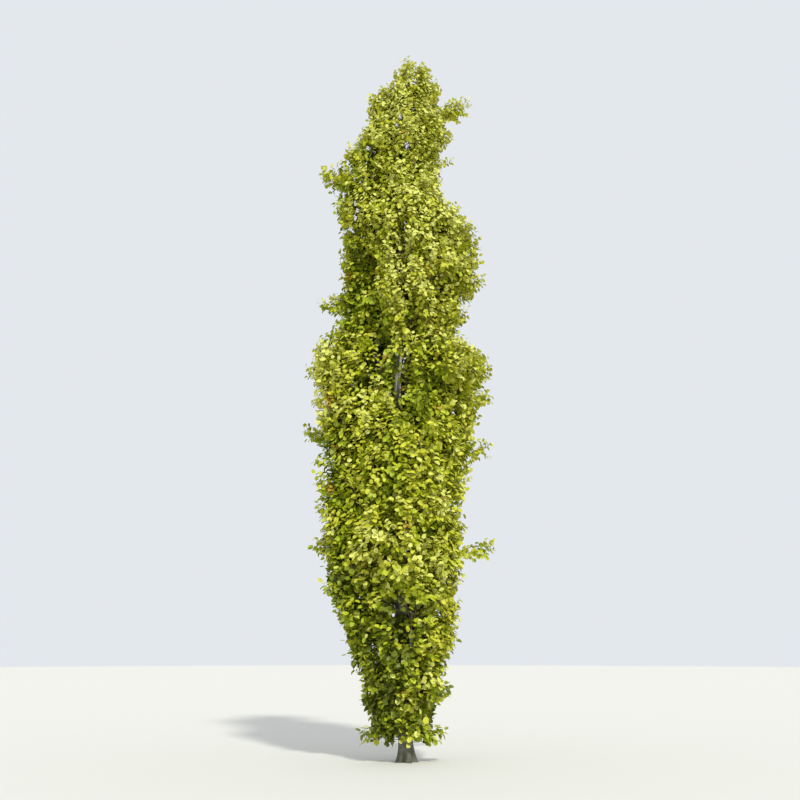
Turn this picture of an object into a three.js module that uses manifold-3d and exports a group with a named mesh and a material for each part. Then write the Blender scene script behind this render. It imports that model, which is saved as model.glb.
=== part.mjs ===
// A columnar golden beech in fresh spring leaf: one slim trunk, steep boughs round it, and a lobed crown of
// foliage masses that hides most of them. Millimetres, +Z up, the origin at the foot of the trunk.
// +X is the viewer's right, -Y faces the viewer.
import * as THREE from "three";
import { mergeVertices } from "three/addons/utils/BufferGeometryUtils.js";
import Module from "manifold-3d";

const wasm = await Module();
wasm.setup();
const { Manifold, Mesh: SolidMesh } = wasm;

// Driving dimensions of the trunk
const TREE_HEIGHT = 10500;
const TRUNK_TOP = 9950;
const TRUNK_RADIUS = 92;
const TRUNK_TIP_RADIUS = 11;
const TRUNK_TAPER = 0.86;
const TRUNK_SIDES = 10;
const TRUNK_RINGS = 15;
const TRUNK_LEAN = -105; // how far the middle of the trunk stands to the viewer's left of its foot
const TRUNK_DRIFT = -30; // the same for its tip
const TRUNK_SWAY = 22; // how far it bends back in its lower half and forwards in its upper half
const RING_CROWDING = 1.5; // more than 1 sets the trunk's rings closer together towards the foot
const FLARE_WIDTH = 46; // what the root flare adds to the radius at the ground
const FLARE_HEIGHT = 170;
const FLARE_TOES = 5;
const TOE_DEPTH = 0.3;

// Driving dimensions of the boughs
const BOUGH_SHARE = 0.5; // a bough's radius where it leaves the trunk, as a share of the trunk's
const BOUGH_TIP_RADIUS = 15;
const BOUGH_SIDES = 5;
const BOUGH_RINGS = 3;
const BOUGH_RISE = 2.3; // how far a bough climbs for each millimetre that it moves out
const BOUGH_DROP = 150; // how far under its tip a bough leaves the trunk at least
const BOUGH_START = [0.62, 0.78]; // how far out and how far up a bough sets off
const BOUGH_THICKER = 4; // how much thicker than its tip a bough is at least where it leaves the trunk
const LOWEST_BOUGH = 260;
const GAP = 0.35; // clear space between two pieces that meet

// Driving dimensions of the foliage masses. A leaf here stands for a spray of real leaves.
const LOBE_TILT = THREE.MathUtils.degToRad(9); // how far a mass leans out from the trunk
const BOUGHS_FROM = 1500; // masses lower than this, or higher than the next, grow straight from the trunk
const BOUGHS_TO = 9000;
const NEXT_SHARE = 1.1; // how far towards the nearer of its neighbours a mass goes at most, doubled
const LOBE_FILL = 0.72; // how much of its share of the height a mass takes
const LOBE_SWELL = 1.45; // how much larger its egg is, as the neighbours' eggs cut into it
const LOBE_DEPTH = 70; // what the half depth has beyond half the reach
const LOBE_BREADTH = [0.8, 60]; // the half breadth as a share of the reach, and what it has beyond that
const LOBE_LOWEST = [0.92, 120]; // keeps the lowest masses off the ground
const LOBE_HIGHEST = 0.98; // keeps the highest masses under the top
const TOP_LOBE = { height: 9960, aside: 120, deep: 460, broad: 420, rise: 1.2, reach: 300, leafSize: 0.55 };
const SPACE_MARGIN = 0.035; // clear share of a mass's size between it and the next mass
const SPACE_STEP = 20;
const LIMB_CLEARANCE = 16;
const TRUNK_POINTS = 60; // the space between the points at which pieces are kept clear of the trunk
const BOUGH_POINTS = 40; // the number of such points along a bough
const LEAF_LENGTH = 500;
const LEAF_WIDTH = 360;
const LEAF_THICKNESS = 13;
const LEAF_BROADEST = 0.42;
const LEAF_CUP = 26;
const LEAF_SHOULDER = [0.7, 0.5]; // a point of a leaf's edge, along the leaf and out to its side
const FULL_REACH = 1000; // masses that reach out less have smaller leaves
const SMALLEST_LEAF = 0.5;
const SIZE_SCATTER = [0.88, 1.12];
const LEAF_SIZES = [1, 0.86, 0.72, 0.56]; // tried one after the other until a leaf fits
const AIMED_SIZES = [1, 0.75, 0.55, 0.4]; // the same for a leaf whose tip is set
const MOST_LEAVES = 15; // on one mass
const FEWEST_LEAVES = 8;
const LEAVES_PER_AREA = 30; // for each square metre of a mass's half height times its half width
const MOST_TWIGS = 40;
const TWIG_SPREAD = THREE.MathUtils.degToRad(115); // how far round from straight outwards the twigs grow
const TWIG_RISES = [-0.75, 0.9]; // the lowest and the highest twigs, from -1 at a mass's foot to 1 at its top
const TWIG_SHOW = [0.2, 0.8]; // the shortest and the longest way from the core to the edge of the mass
const TWIG_START = [0.4, 0.4]; // how far up the stem a level twig starts, and what its rise adds to that
const TWIG_START_RANGE = [0.04, 0.96];
const TWIG_HIDDEN = 0.15; // this share of a twig lies in the core and isn't tested against the limbs
const TWIG_SCATTER = 0.4;
const LEAF_LEAN = 0.45; // how much the leaves turn out, against how much they turn up
const LOW_SIDE = -0.6; // twigs that leave a mass lower than this, from -1 to 1, let their leaves hang
const LEAF_TILT = 0.25; // radians that a twig's leaves may be turned about the way up
const LEAF_SWINGS = [0, 1.15, -1.15, 2.5]; // radians from a twig's end leaf to the leaves behind it
const LEAF_STEP = 0.17; // the space from one leaf to the next along the twig, in leaf lengths
const BUD = 16; // how far a twig sticks out beyond the root of its end leaf
const ROOT_DEPTH = 3; // how deep a leaf's root is sunk beyond the middle of its twig
const STEM_RADIUS = 16;
const STEM_TAPER = 0.6;
const LOW_STEM = 0.72; // the same as the next where no bough carries the mass
const STEM_FOOT = 0.8; // how far the stem's foot lies under a mass's middle, as a share of its half height
const STEM_TOP = 0.8; // how far up in the core the stem ends
const TOP_STEM = 20; // how far to the right the stem of the top mass ends
const TWIG_SIDES = 3;
const TWIG_RADIUS = 13;
const TWIG_TIP_RADIUS = 11;
const CORE_SHARE = 0.43; // how much of the way to the edge of its mass's space a core goes
const CORE_SHARE_ALONG = 0.68; // the same up and down
const CORE_SHARE_INSIDE = 0.34; // the same towards the trunk
const CORE_ROUGHNESS = 0.16;
const CORE_RIPPLES = new THREE.Vector3(7, 9, 8); // how fast the roughness changes outwards, upwards and round
const CORE_DETAIL = 0; // how often each of a core's 20 faces is divided
// Sets one corner of a core at its top and one at its foot
const CORE_TURN = Math.atan(2 / (1 + Math.sqrt(5)));

// The crown's outline seen from the front: height, reach to the left and reach to the right of the foot
const OUTLINE = [
  [200, 330, 190],
  [400, 600, 450],
  [600, 520, 360],
  [1000, 720, 520],
  [1500, 840, 730],
  [2000, 1030, 750],
  [2500, 1290, 810],
  [2950, 1350, 1220],
  [3450, 1260, 820],
  [4050, 1400, 1230],
  [4450, 1520, 1150],
  [4850, 1440, 960],
  [5300, 1400, 1260],
  [5650, 1390, 1300],
  [6000, 1310, 870],
  [6500, 1240, 920],
  [6900, 1010, 1070],
  [7500, 1040, 1060],
  [8050, 1180, 760],
  [8300, 1240, 560],
  [8650, 1340, 545],
  [8900, 1010, 560],
  [9250, 770, 730],
  [9550, 520, 700],
  [9760, 550, 960],
  [9950, 520, 640],
  [10150, 270, 530],
  [10350, 230, 420],
  [TREE_HEIGHT, 110, 90],
];
// How high the middles of the masses stand, up each side of the crown. The longest step in front leaves room
// for the window through which the trunk shows.
const SIDES = [
  { name: "right", turn: 0, heights: [730, 1820, 3200, 4750, 6450, 8050, 9400] },
  { name: "back", turn: 90, heights: [1300, 2700, 4200, 5700, 7200, 8700] },
  { name: "left", turn: 180, heights: [830, 2130, 3600, 5050, 6750, 8300, 9400] },
  { name: "front", turn: 270, heights: [1150, 2450, 3900, 6450, 7800, 9050] },
];
const TURN_SCATTER = 14; // degrees
const WINDOW = { left: -190, right: -20, low: 4940, high: 5540 };
// Tips of the sprays that stand out furthest, as distance to the right of the foot and height
const SPRAY_TIPS = [
  [-590, 400],
  [440, 410],
  [-1290, 2930],
  [1210, 2950],
  [-1510, 4450],
  [1225, 4060],
  [1255, 5300],
  [1295, 5650],
  [-1300, 6000],
  [1060, 6930],
  [-1335, 8650],
  [955, 9755],
  [-545, 9760],
  [30, 10495],
];

const EVEN_STEPS = [0.754878, 0.56984]; // steps that spread points evenly over a square
const UP = new THREE.Vector3(0, 0, 1);
const FRONT = new THREE.Vector3(0, -1, 0);
const PARALLEL = 0.2; // two directions whose product is shorter than this are taken as parallel

// Seeded random numbers from 0 to 1, the same on every run
function seeded(seed) {
  let state = seed >>> 0;
  return () => {
    state = (state + 0x6d2b79f5) >>> 0;
    let mixed = Math.imul(state ^ (state >>> 15), state | 1);
    mixed ^= mixed + Math.imul(mixed ^ (mixed >>> 7), mixed | 61);
    return ((mixed ^ (mixed >>> 14)) >>> 0) / 4294967296;
  };
}

// The value of column at a height, read along the outline's straight stretches
function outlineAt(height, column) {
  const above = OUTLINE.findIndex((row) => row[0] > height);
  if (above === 0) return OUTLINE[0][column];
  if (above < 0) return OUTLINE.at(-1)[column];
  const [low, high] = [OUTLINE[above - 1], OUTLINE[above]];
  return THREE.MathUtils.mapLinear(height, low[0], high[0], low[column], high[column]);
}

// How far the crown reaches from the foot's upright axis towards a turn, at a height
function reachAt(turn, height) {
  const left = outlineAt(height, 1);
  const right = outlineAt(height, 2);
  const sideways = Math.cos(turn) < 0 ? left : right;
  const deep = (left + right) / 2;
  return 1 / Math.hypot(Math.cos(turn) / sideways, Math.sin(turn) / deep);
}

function trunkAt(height) {
  const share = height / TRUNK_TOP;
  const bow = Math.sin(Math.PI * Math.min(share, 1));
  const sway = Math.sin(2 * Math.PI * share);
  return new THREE.Vector3(TRUNK_LEAN * bow + TRUNK_DRIFT * share, TRUNK_SWAY * sway, height);
}

function trunkRadiusAt(height) {
  const taper = Math.max(1 - height / TRUNK_TOP, 0) ** TRUNK_TAPER;
  return TRUNK_TIP_RADIUS + (TRUNK_RADIUS - TRUNK_TIP_RADIUS) * taper;
}

// A mass's space is an egg that stands beside the trunk, in its own frame of three directions
function makeLobe(side, index) {
  const random = seeded(side.turn * 31 + index * 977 + 5);
  const height = side.heights[index];
  const below = side.heights[index - 1] ?? 2 * height - side.heights[index + 1];
  const above = side.heights[index + 1] ?? 2 * height - side.heights[index - 1];
  const turn = THREE.MathUtils.degToRad(side.turn + TURN_SCATTER * (random() - 0.5) * 2);
  const out = new THREE.Vector3(Math.cos(turn), Math.sin(turn), 0);
  const nearest = NEXT_SHARE * Math.min(above - height, height - below);
  const halfHeight = Math.min(
    LOBE_FILL * Math.min((above - below) / 2, nearest),
    LOBE_LOWEST[0] * height - LOBE_LOWEST[1],
    LOBE_HIGHEST * (TREE_HEIGHT - height),
  );
  const reach = [-0.5, -0.25, 0, 0.25, 0.5]
    .map((share) => reachAt(turn, height + share * halfHeight))
    .reduce((most, value) => Math.max(most, value));
  const halfDepth = reach / 2 + LOBE_DEPTH;
  return {
    name: `${side.name}_${index + 1}`,
    random,
    reach,
    leafSize: THREE.MathUtils.clamp(reach / FULL_REACH, SMALLEST_LEAF, 1),
    centre: out.clone().multiplyScalar(reach - halfDepth).setZ(height),
    axis: UP.clone().multiplyScalar(Math.cos(LOBE_TILT)).addScaledVector(out, Math.sin(LOBE_TILT)),
    out: out.clone().multiplyScalar(Math.cos(LOBE_TILT)).addScaledVector(UP, -Math.sin(LOBE_TILT)),
    across: UP.clone().cross(out),
    half: {
      axis: LOBE_SWELL * halfHeight,
      out: LOBE_SWELL * halfDepth,
      across: LOBE_BREADTH[0] * reach + LOBE_BREADTH[1],
    },
  };
}

function makeTopLobe({ height, aside, deep, broad, rise, reach, leafSize }) {
  return {
    name: "top",
    random: seeded(4242),
    reach,
    leafSize,
    centre: new THREE.Vector3(aside, 0, height),
    axis: UP.clone(),
    out: new THREE.Vector3(1, 0, 0),
    across: new THREE.Vector3(0, 1, 0),
    half: { axis: rise * (TREE_HEIGHT - height), out: deep, across: broad },
  };
}

const lobes = SIDES.flatMap((side) => side.heights.map((_, index) => makeLobe(side, index)));
lobes.push(makeTopLobe(TOP_LOBE));
for (const lobe of lobes) lobe.tips = [];
for (const [x, height] of SPRAY_TIPS) {
  const tip = new THREE.Vector3(x, 0, height);
  const holder = lobes.reduce((best, lobe) => (depthIn(lobe, tip) < depthIn(best, tip) ? lobe : best));
  holder.tips.push(tip);
}

// 0 at the middle of a lobe and 1 on its skin
function depthIn(lobe, point) {
  const away = point.clone().sub(lobe.centre);
  return Math.hypot(
    away.dot(lobe.axis) / lobe.half.axis,
    away.dot(lobe.out) / lobe.half.out,
    away.dot(lobe.across) / lobe.half.across,
  );
}

function inWindow({ x, y, z }) {
  return y < 0 && x > WINDOW.left && x < WINDOW.right && z > WINDOW.low && z < WINDOW.high;
}

// True where a point lies in the lobe, in the crown, and nearer to this lobe than to any other
function owns(lobe, point, margin = SPACE_MARGIN) {
  const depth = depthIn(lobe, point);
  if (depth > 1 || point.z < OUTLINE[0][0] || point.z > TREE_HEIGHT || inWindow(point)) return false;
  const turn = Math.atan2(point.y, point.x);
  if (Math.hypot(point.x, point.y) > reachAt(turn, point.z)) return false;
  return lobes.every((other) => other === lobe || depthIn(other, point) > depth + margin);
}

// How far a lobe goes from a point in a direction
function roomAlong(lobe, from, direction, margin = SPACE_MARGIN) {
  let distance = 0;
  const hasRoom = (further) => owns(lobe, from.clone().addScaledVector(direction, further), margin);
  while (hasRoom(distance + SPACE_STEP)) distance += SPACE_STEP;
  return distance;
}

// Solids and geometries

function solidOf(geometry) {
  geometry.deleteAttribute("normal");
  geometry.deleteAttribute("uv");
  const merged = mergeVertices(geometry, 1e-3);
  return new Manifold(
    new SolidMesh({
      numProp: 3,
      vertProperties: merged.attributes.position.array,
      triVerts: new Uint32Array(merged.index.array),
    }),
  );
}

function geometryOf(solid) {
  const mesh = solid.getMesh();
  const geometry = new THREE.BufferGeometry();
  geometry.setAttribute("position", new THREE.BufferAttribute(mesh.vertProperties, 3));
  geometry.setIndex(new THREE.BufferAttribute(mesh.triVerts, 1));
  const faceted = geometry.toNonIndexed();
  faceted.computeVertexNormals();
  return faceted;
}

// The largest body of a solid, so that loose scraps and sealed hollows are left out
function largestBody(solid) {
  return solid.decompose().reduce((best, body) => (body.volume() > best.volume() ? body : best));
}

// Moves each vertex of a geometry to where place puts it
function reshape(geometry, place) {
  const positions = geometry.getAttribute("position");
  const vertex = new THREE.Vector3();
  for (let i = 0; i < positions.count; i++) {
    const moved = place(vertex.fromBufferAttribute(positions, i));
    positions.setXYZ(i, moved.x, moved.y, moved.z);
  }
  return geometry;
}

// The trunk's rings are level, so that its foot is one flat cut
function trunkSolid(extra) {
  const tube = new THREE.CylinderGeometry(1, 1, 1, TRUNK_SIDES, TRUNK_RINGS);
  reshape(tube, ({ x, y, z }) => {
    const share = (y + 0.5) ** RING_CROWDING;
    const height = share * (TRUNK_TOP + extra);
    const flare = Math.exp(-height / FLARE_HEIGHT);
    const toes = 1 + TOE_DEPTH * flare * Math.cos(FLARE_TOES * Math.atan2(x, z));
    const radius = (trunkRadiusAt(height) + FLARE_WIDTH * flare) * toes + extra;
    return trunkAt(height).add(new THREE.Vector3(z * radius, x * radius, 0));
  });
  return solidOf(tube);
}

// A tapering bough along its curve, made thicker by an extra and longer by the gap where it is to cut others
function boughSolid({ curve, radiusAt }, extra = 0) {
  const frames = curve.computeFrenetFrames(BOUGH_RINGS, false);
  const tube = new THREE.CylinderGeometry(1, 1, 1, BOUGH_SIDES, BOUGH_RINGS);
  reshape(tube, ({ x, y, z }) => {
    const ring = Math.round((y + 0.5) * BOUGH_RINGS);
    const share = ring / BOUGH_RINGS;
    const radius = radiusAt(share) + extra;
    return curve
      .getPointAt(share)
      .addScaledVector(frames.binormals[ring], x * radius)
      .addScaledVector(frames.normals[ring], z * radius)
      .addScaledVector(frames.tangents[ring], share === 1 ? Math.min(extra, GAP) : 0);
  });
  return solidOf(tube);
}

// A three-sided twig from one point to another
function twigSolid(from, to, thick, thin) {
  const corners = Array.from({ length: TWIG_SIDES }, (_, corner) => {
    const turn = (corner * 2 * Math.PI) / TWIG_SIDES;
    return new THREE.Vector2(-Math.sin(turn), Math.cos(turn));
  });
  const options = { depth: 1, steps: 1, bevelEnabled: false };
  const prism = new THREE.ExtrudeGeometry(new THREE.Shape(corners), options);
  const between = to.clone().sub(from);
  const turned = new THREE.Quaternion().setFromUnitVectors(UP, between.clone().normalize());
  reshape(prism, ({ x, y, z }) => {
    const radius = THREE.MathUtils.lerp(thick, thin, z);
    return new THREE.Vector3(x * radius, y * radius, z * between.length()).applyQuaternion(turned).add(from);
  });
  return solidOf(prism);
}

// A leaf of 8 faces: an octahedron drawn out to a root and a tip, broadest near its root, its edges lifted
function leafSolid({ root, along, across, length }) {
  const lift = along.clone().cross(across);
  const leaf = reshape(new THREE.OctahedronGeometry(1), ({ x, y, z }) => {
    const share = x < -0.5 ? 0 : x > 0.5 ? 1 : LEAF_BROADEST;
    const scale = length / LEAF_LENGTH;
    return root
      .clone()
      .addScaledVector(along, share * length)
      .addScaledVector(across, (y * LEAF_WIDTH * scale) / 2)
      .addScaledVector(lift, (z * LEAF_THICKNESS) / 2 + Math.abs(y) * LEAF_CUP * scale);
  });
  return solidOf(leaf);
}

// How far a mass's core goes from its middle in a direction
function coreReach(lobe, away) {
  const [inside, over, round] = [away.dot(lobe.out), away.dot(lobe.axis), away.dot(lobe.across)];
  const turns = new THREE.Vector3(inside, over, round).multiply(CORE_RIPPLES);
  const ripple = Math.sin(turns.x + lobe.reach) * Math.sin(turns.y) * Math.cos(turns.z);
  const level = THREE.MathUtils.lerp(CORE_SHARE, CORE_SHARE_INSIDE, Math.max(-inside, 0));
  const share = THREE.MathUtils.lerp(level, CORE_SHARE_ALONG, over ** 2);
  return roomAlong(lobe, lobe.centre, away) * share * (1 + CORE_ROUGHNESS * ripple);
}

// A rough lump in the middle of a mass, which its twigs and leaves stand out of
function coreSolid(lobe) {
  const lump = reshape(new THREE.IcosahedronGeometry(1, CORE_DETAIL).rotateX(CORE_TURN), (vertex) => {
    const away = new THREE.Vector3()
      .addScaledVector(lobe.out, vertex.x * lobe.half.out)
      .addScaledVector(lobe.across, vertex.y * lobe.half.across)
      .addScaledVector(lobe.axis, vertex.z * lobe.half.axis)
      .normalize();
    return lobe.centre.clone().addScaledVector(away, coreReach(lobe, away));
  });
  return solidOf(lump);
}

// Limbs

// Points along every limb, each with the limb's radius there, which twigs and leaves keep clear of
const limbPoints = [];
for (let height = 0; height < TRUNK_TOP; height += TRUNK_POINTS) {
  limbPoints.push({ at: trunkAt(height), radius: trunkRadiusAt(height) });
}

// The foot of a lobe's stem, the curve that its bough takes there, and the bough's radius along it
function planBough(lobe) {
  const down = lobe.axis.clone().negate();
  const foot = lobe.centre
    .clone()
    .addScaledVector(down, Math.min(STEM_FOOT * lobe.half.axis, roomAlong(lobe, lobe.centre, down)));
  const moved = Math.hypot(foot.x - trunkAt(foot.z).x, foot.y - trunkAt(foot.z).y);
  const start = trunkAt(Math.max(foot.z - BOUGH_RISE * moved - BOUGH_DROP, LOWEST_BOUGH));
  const third = foot.distanceTo(start) / 3;
  const level = lobe.out.clone().setZ(0).normalize();
  const leaving = start
    .clone()
    .addScaledVector(level, BOUGH_START[0] * third)
    .addScaledVector(UP, BOUGH_START[1] * third);
  const arriving = foot.clone().addScaledVector(lobe.axis, -third);
  const curve = new THREE.CubicBezierCurve3(start, leaving, arriving, foot);
  const thick = Math.max(BOUGH_SHARE * trunkRadiusAt(start.z), BOUGH_TIP_RADIUS + BOUGH_THICKER);
  const radiusAt = (share) => THREE.MathUtils.lerp(thick, BOUGH_TIP_RADIUS, share);
  for (let step = 0; step <= BOUGH_POINTS; step++) {
    limbPoints.push({ at: curve.getPointAt(step / BOUGH_POINTS), radius: radiusAt(step / BOUGH_POINTS) });
  }
  return { foot, curve, radiusAt };
}

const trunkCut = trunkSolid(GAP);
for (const lobe of lobes) {
  if (lobe.centre.z > BOUGHS_FROM && lobe.centre.z < BOUGHS_TO) lobe.bough = planBough(lobe);
}

// True if a leaf or a twig comes near a limb. closestOnPiece finds its point that is nearest to another.
function touchesLimb(closestOnPiece, middle, size) {
  const nearest = new THREE.Vector3();
  return limbPoints.some(({ at, radius }) => {
    if (at.distanceTo(middle) > size + radius + LIMB_CLEARANCE) return false;
    closestOnPiece(at, nearest);
    return nearest.distanceTo(at) < radius + LIMB_CLEARANCE;
  });
}

// Growth of a mass

// A leaf if it has room, inside its lobe and clear of limbs and of the other leaves, and otherwise null
function leafThatFits(lobe, leaves, root, along, facing, length) {
  const across = facing.clone().cross(along).normalize();
  const width = (LEAF_WIDTH * length) / LEAF_LENGTH;
  const at = (share, side) =>
    root.clone().addScaledVector(along, share * length).addScaledVector(across, (side * width) / 2);
  const [tip, left, right, middle] = [at(1, 0), at(LEAF_BROADEST, 1), at(LEAF_BROADEST, -1), at(0.5, 0)];
  const [far, aside] = LEAF_SHOULDER;
  const outline = [tip, left, right, middle, at(far, aside), at(far, -aside)];
  if (!outline.every((point) => owns(lobe, point))) return null;
  for (const side of [left, right]) {
    const half = new THREE.Triangle(root, side, tip);
    if (touchesLimb((from, nearest) => half.closestPointToPoint(from, nearest), middle, length)) return null;
  }
  const solid = leafSolid({ root, along, across, length });
  const near = leaves.filter((other) => other.middle.distanceTo(middle) < length);
  return near.some((other) => other.solid.intersect(solid).volume() > 0) ? null : { middle, solid };
}

// The stem of a mass runs from its foot towards its top
function stemOf(lobe) {
  const top = lobe.centre.clone().addScaledVector(lobe.axis, STEM_TOP * coreReach(lobe, lobe.axis));
  if (lobe.name === "top") return { from: trunkAt(TRUNK_TOP - STEM_RADIUS), to: top.setX(TOP_STEM) };
  if (lobe.bough) return { from: lobe.bough.foot.clone().addScaledVector(lobe.axis, GAP), to: top };
  const foot = Math.max(lobe.centre.z - LOW_STEM * lobe.half.axis, LOWEST_BOUGH);
  return { from: trunkAt(foot), to: top };
}

// Where the twig of a number aims: first at each tip that stands out, then evenly all round the mass's skin
function skinPoint(lobe, number) {
  if (number < lobe.tips.length) return lobe.tips[number];
  const step = number - lobe.tips.length + TWIG_SCATTER * lobe.random();
  const rise = THREE.MathUtils.lerp(...TWIG_RISES, (0.5 + step * EVEN_STEPS[0]) % 1);
  const spread = TWIG_SPREAD * (2 * ((0.5 + step * EVEN_STEPS[1]) % 1) - 1);
  const ring = Math.sqrt(1 - rise * rise);
  return lobe.centre
    .clone()
    .addScaledVector(lobe.out, ring * Math.cos(spread) * lobe.half.out)
    .addScaledVector(lobe.across, ring * Math.sin(spread) * lobe.half.across)
    .addScaledVector(lobe.axis, rise * lobe.half.axis);
}

// The leaves of one twig face outwards, one behind the other, and fan out from the way up, each as large as
// its room allows. There are none where the one at the twig's end has no room.
function leavesOn(lobe, leaves, { end, along, upright, facing, turn, length }) {
  const grown = [];
  for (const [place, swing] of LEAF_SWINGS.entries()) {
    const heading = upright.clone().applyAxisAngle(facing, turn * swing);
    const root = end.clone().addScaledVector(along, -BUD - place * LEAF_STEP * length);
    root.addScaledVector(heading, -ROOT_DEPTH);
    const fitting = (size) => leafThatFits(lobe, [...leaves, ...grown], root, heading, facing, size * length);
    const leaf = LEAF_SIZES.reduce((found, size) => found ?? fitting(size), null);
    if (leaf) grown.push(leaf);
    if (grown.length === 0) return grown;
  }
  return grown;
}

// A twig leaves the stem for the skin of the mass, and stops on the way if it doesn't aim at a tip
function growTwig(lobe, stem, number, leaves, twigs) {
  const { random } = lobe;
  const aimed = number < lobe.tips.length;
  const skin = skinPoint(lobe, number);
  const outwards = skin.clone().sub(lobe.centre).normalize();
  const rise = outwards.dot(lobe.axis);
  const startShare = THREE.MathUtils.clamp(TWIG_START[0] + TWIG_START[1] * rise, ...TWIG_START_RANGE);
  const start = stem.from.clone().lerp(stem.to, startShare);
  const share = THREE.MathUtils.lerp(...TWIG_SHOW, random());
  const inner = coreReach(lobe, outwards);
  const outer = roomAlong(lobe, lobe.centre, outwards);
  const size = LEAF_LENGTH * lobe.leafSize * THREE.MathUtils.lerp(...SIZE_SCATTER, random());
  const tilt = THREE.MathUtils.lerp(-LEAF_TILT, LEAF_TILT, random());
  const turn = random() < 0.5 ? 1 : -1;
  for (const length of aimed ? AIMED_SIZES.map((part) => part * size) : [size]) {
    const end = aimed
      ? skin.clone().addScaledVector(outwards, BUD + ROOT_DEPTH - length)
      : lobe.centre.clone().addScaledVector(outwards, THREE.MathUtils.lerp(inner, outer, share));
    const along = end.clone().sub(start).normalize();
    const upright = UP.clone().multiplyScalar(rise < LOW_SIDE ? -1 : 1).addScaledVector(outwards, LEAF_LEAN);
    if (aimed) upright.copy(outwards);
    upright.normalize();
    const across = (aimed ? FRONT : outwards).clone().cross(upright);
    if (across.length() < PARALLEL) across.copy(lobe.across);
    const facing = upright.clone().cross(across).normalize().applyAxisAngle(upright, tilt);
    const twig = new THREE.Line3(start.clone().lerp(end, TWIG_HIDDEN), end);
    const nearTwig = (at, nearest) => twig.closestPointToPoint(at, true, nearest);
    if (touchesLimb(nearTwig, twig.getCenter(new THREE.Vector3()), twig.distance())) continue;
    const solid = twigSolid(start, end, TWIG_RADIUS, TWIG_TIP_RADIUS);
    if (leaves.some((leaf) => leaf.solid.intersect(solid).volume() > 0)) continue;
    const grown = leavesOn(lobe, leaves, { end, along, upright, facing, turn, length });
    if (grown.length === 0) continue;
    twigs.push(solid);
    leaves.push(...grown);
    return;
  }
}

function massSolid(lobe, limbsCut) {
  const stem = stemOf(lobe);
  const solids = [coreSolid(lobe), twigSolid(stem.from, stem.to, STEM_RADIUS, STEM_RADIUS * STEM_TAPER)];
  const leaves = [];
  const area = (lobe.half.axis * lobe.half.across) / lobe.leafSize ** 2 / 1e6;
  const enough = THREE.MathUtils.clamp(LEAVES_PER_AREA * area, FEWEST_LEAVES, MOST_LEAVES);
  for (let number = 0; number < MOST_TWIGS && leaves.length < enough; number++) {
    growTwig(lobe, stem, number, leaves, solids);
  }
  let mass = [...solids, ...leaves.map((leaf) => leaf.solid)].reduce((whole, piece) => whole.add(piece));
  for (const cut of limbsCut) {
    if (mass.intersect(cut).volume() > 0) mass = mass.subtract(cut);
  }
  return largestBody(mass);
}

// Assembly

const bark = new THREE.MeshStandardMaterial({ color: 0x8c8a80, roughness: 0.8, metalness: 0 });
const foliage = new THREE.MeshStandardMaterial({ color: 0xb4bc2e, roughness: 0.6, metalness: 0 });

const tree = new THREE.Group();

function addPiece(name, solid, material) {
  const piece = new THREE.Mesh(geometryOf(solid), material);
  piece.name = name;
  tree.add(piece);
}

addPiece("trunk", trunkSolid(0), bark);
const limbsCut = [trunkCut];
for (const { name, bough } of lobes.filter((lobe) => lobe.bough)) {
  addPiece(`bough_${name}`, largestBody(boughSolid(bough).subtract(trunkCut)), bark);
  limbsCut.push(boughSolid(bough, LIMB_CLEARANCE));
}
for (const lobe of lobes) addPiece(`foliage_${lobe.name}`, massSolid(lobe, limbsCut), foliage);

export default tree;
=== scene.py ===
# %% [markdown]
# # A columnar golden beech in young leaf
# The real tree is one slim grey trunk, ringed by steep boughs and dressed from the ground to the tip in young
# golden leaves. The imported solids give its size: a trunk, its boughs, and one coarse mass of foliage for each
# part of the crown. This lesson keeps their places and grows the fine tree on them. It starts by loading
# them, because every piece that follows is set against their box and their names.

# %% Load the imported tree
import math

import bmesh
import bpy
import numpy as np
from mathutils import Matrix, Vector, kdtree, noise


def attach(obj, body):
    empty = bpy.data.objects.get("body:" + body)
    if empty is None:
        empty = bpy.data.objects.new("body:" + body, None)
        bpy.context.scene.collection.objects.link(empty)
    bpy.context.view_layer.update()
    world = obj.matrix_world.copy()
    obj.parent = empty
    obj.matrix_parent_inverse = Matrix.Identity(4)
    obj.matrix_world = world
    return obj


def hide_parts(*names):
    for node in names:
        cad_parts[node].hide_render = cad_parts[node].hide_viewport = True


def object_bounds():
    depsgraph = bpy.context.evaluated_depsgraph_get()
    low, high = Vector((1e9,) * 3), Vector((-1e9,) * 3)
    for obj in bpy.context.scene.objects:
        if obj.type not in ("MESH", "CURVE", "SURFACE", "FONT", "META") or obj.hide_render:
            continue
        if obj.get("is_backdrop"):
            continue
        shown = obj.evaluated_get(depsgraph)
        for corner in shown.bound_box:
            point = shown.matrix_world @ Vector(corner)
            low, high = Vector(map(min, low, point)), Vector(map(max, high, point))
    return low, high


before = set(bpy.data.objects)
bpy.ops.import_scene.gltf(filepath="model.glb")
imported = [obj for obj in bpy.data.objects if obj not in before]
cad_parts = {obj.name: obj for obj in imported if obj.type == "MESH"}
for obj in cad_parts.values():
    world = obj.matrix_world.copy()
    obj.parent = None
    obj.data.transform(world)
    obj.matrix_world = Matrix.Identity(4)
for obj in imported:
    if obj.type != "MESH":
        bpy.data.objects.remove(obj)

solids_low, solids_high = (np.array(corner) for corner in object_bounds())
print("solids from", solids_low.round(3), "to", solids_high.round(3))

# %% [markdown]
# ## The eye
# The tree is seen from 16 m away at standing height, with the lens tilted up so that the tip fits. A tilted
# camera makes the uprights lean in a little towards the top, as they do in any such picture. Shifting the
# lens would keep them parallel, and would then be wrong from every other side.

# %% Set up the camera
EYE = Vector((-0.082, -15.923, 1.6335))
LENS_TILT = math.radians(12.19)

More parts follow.
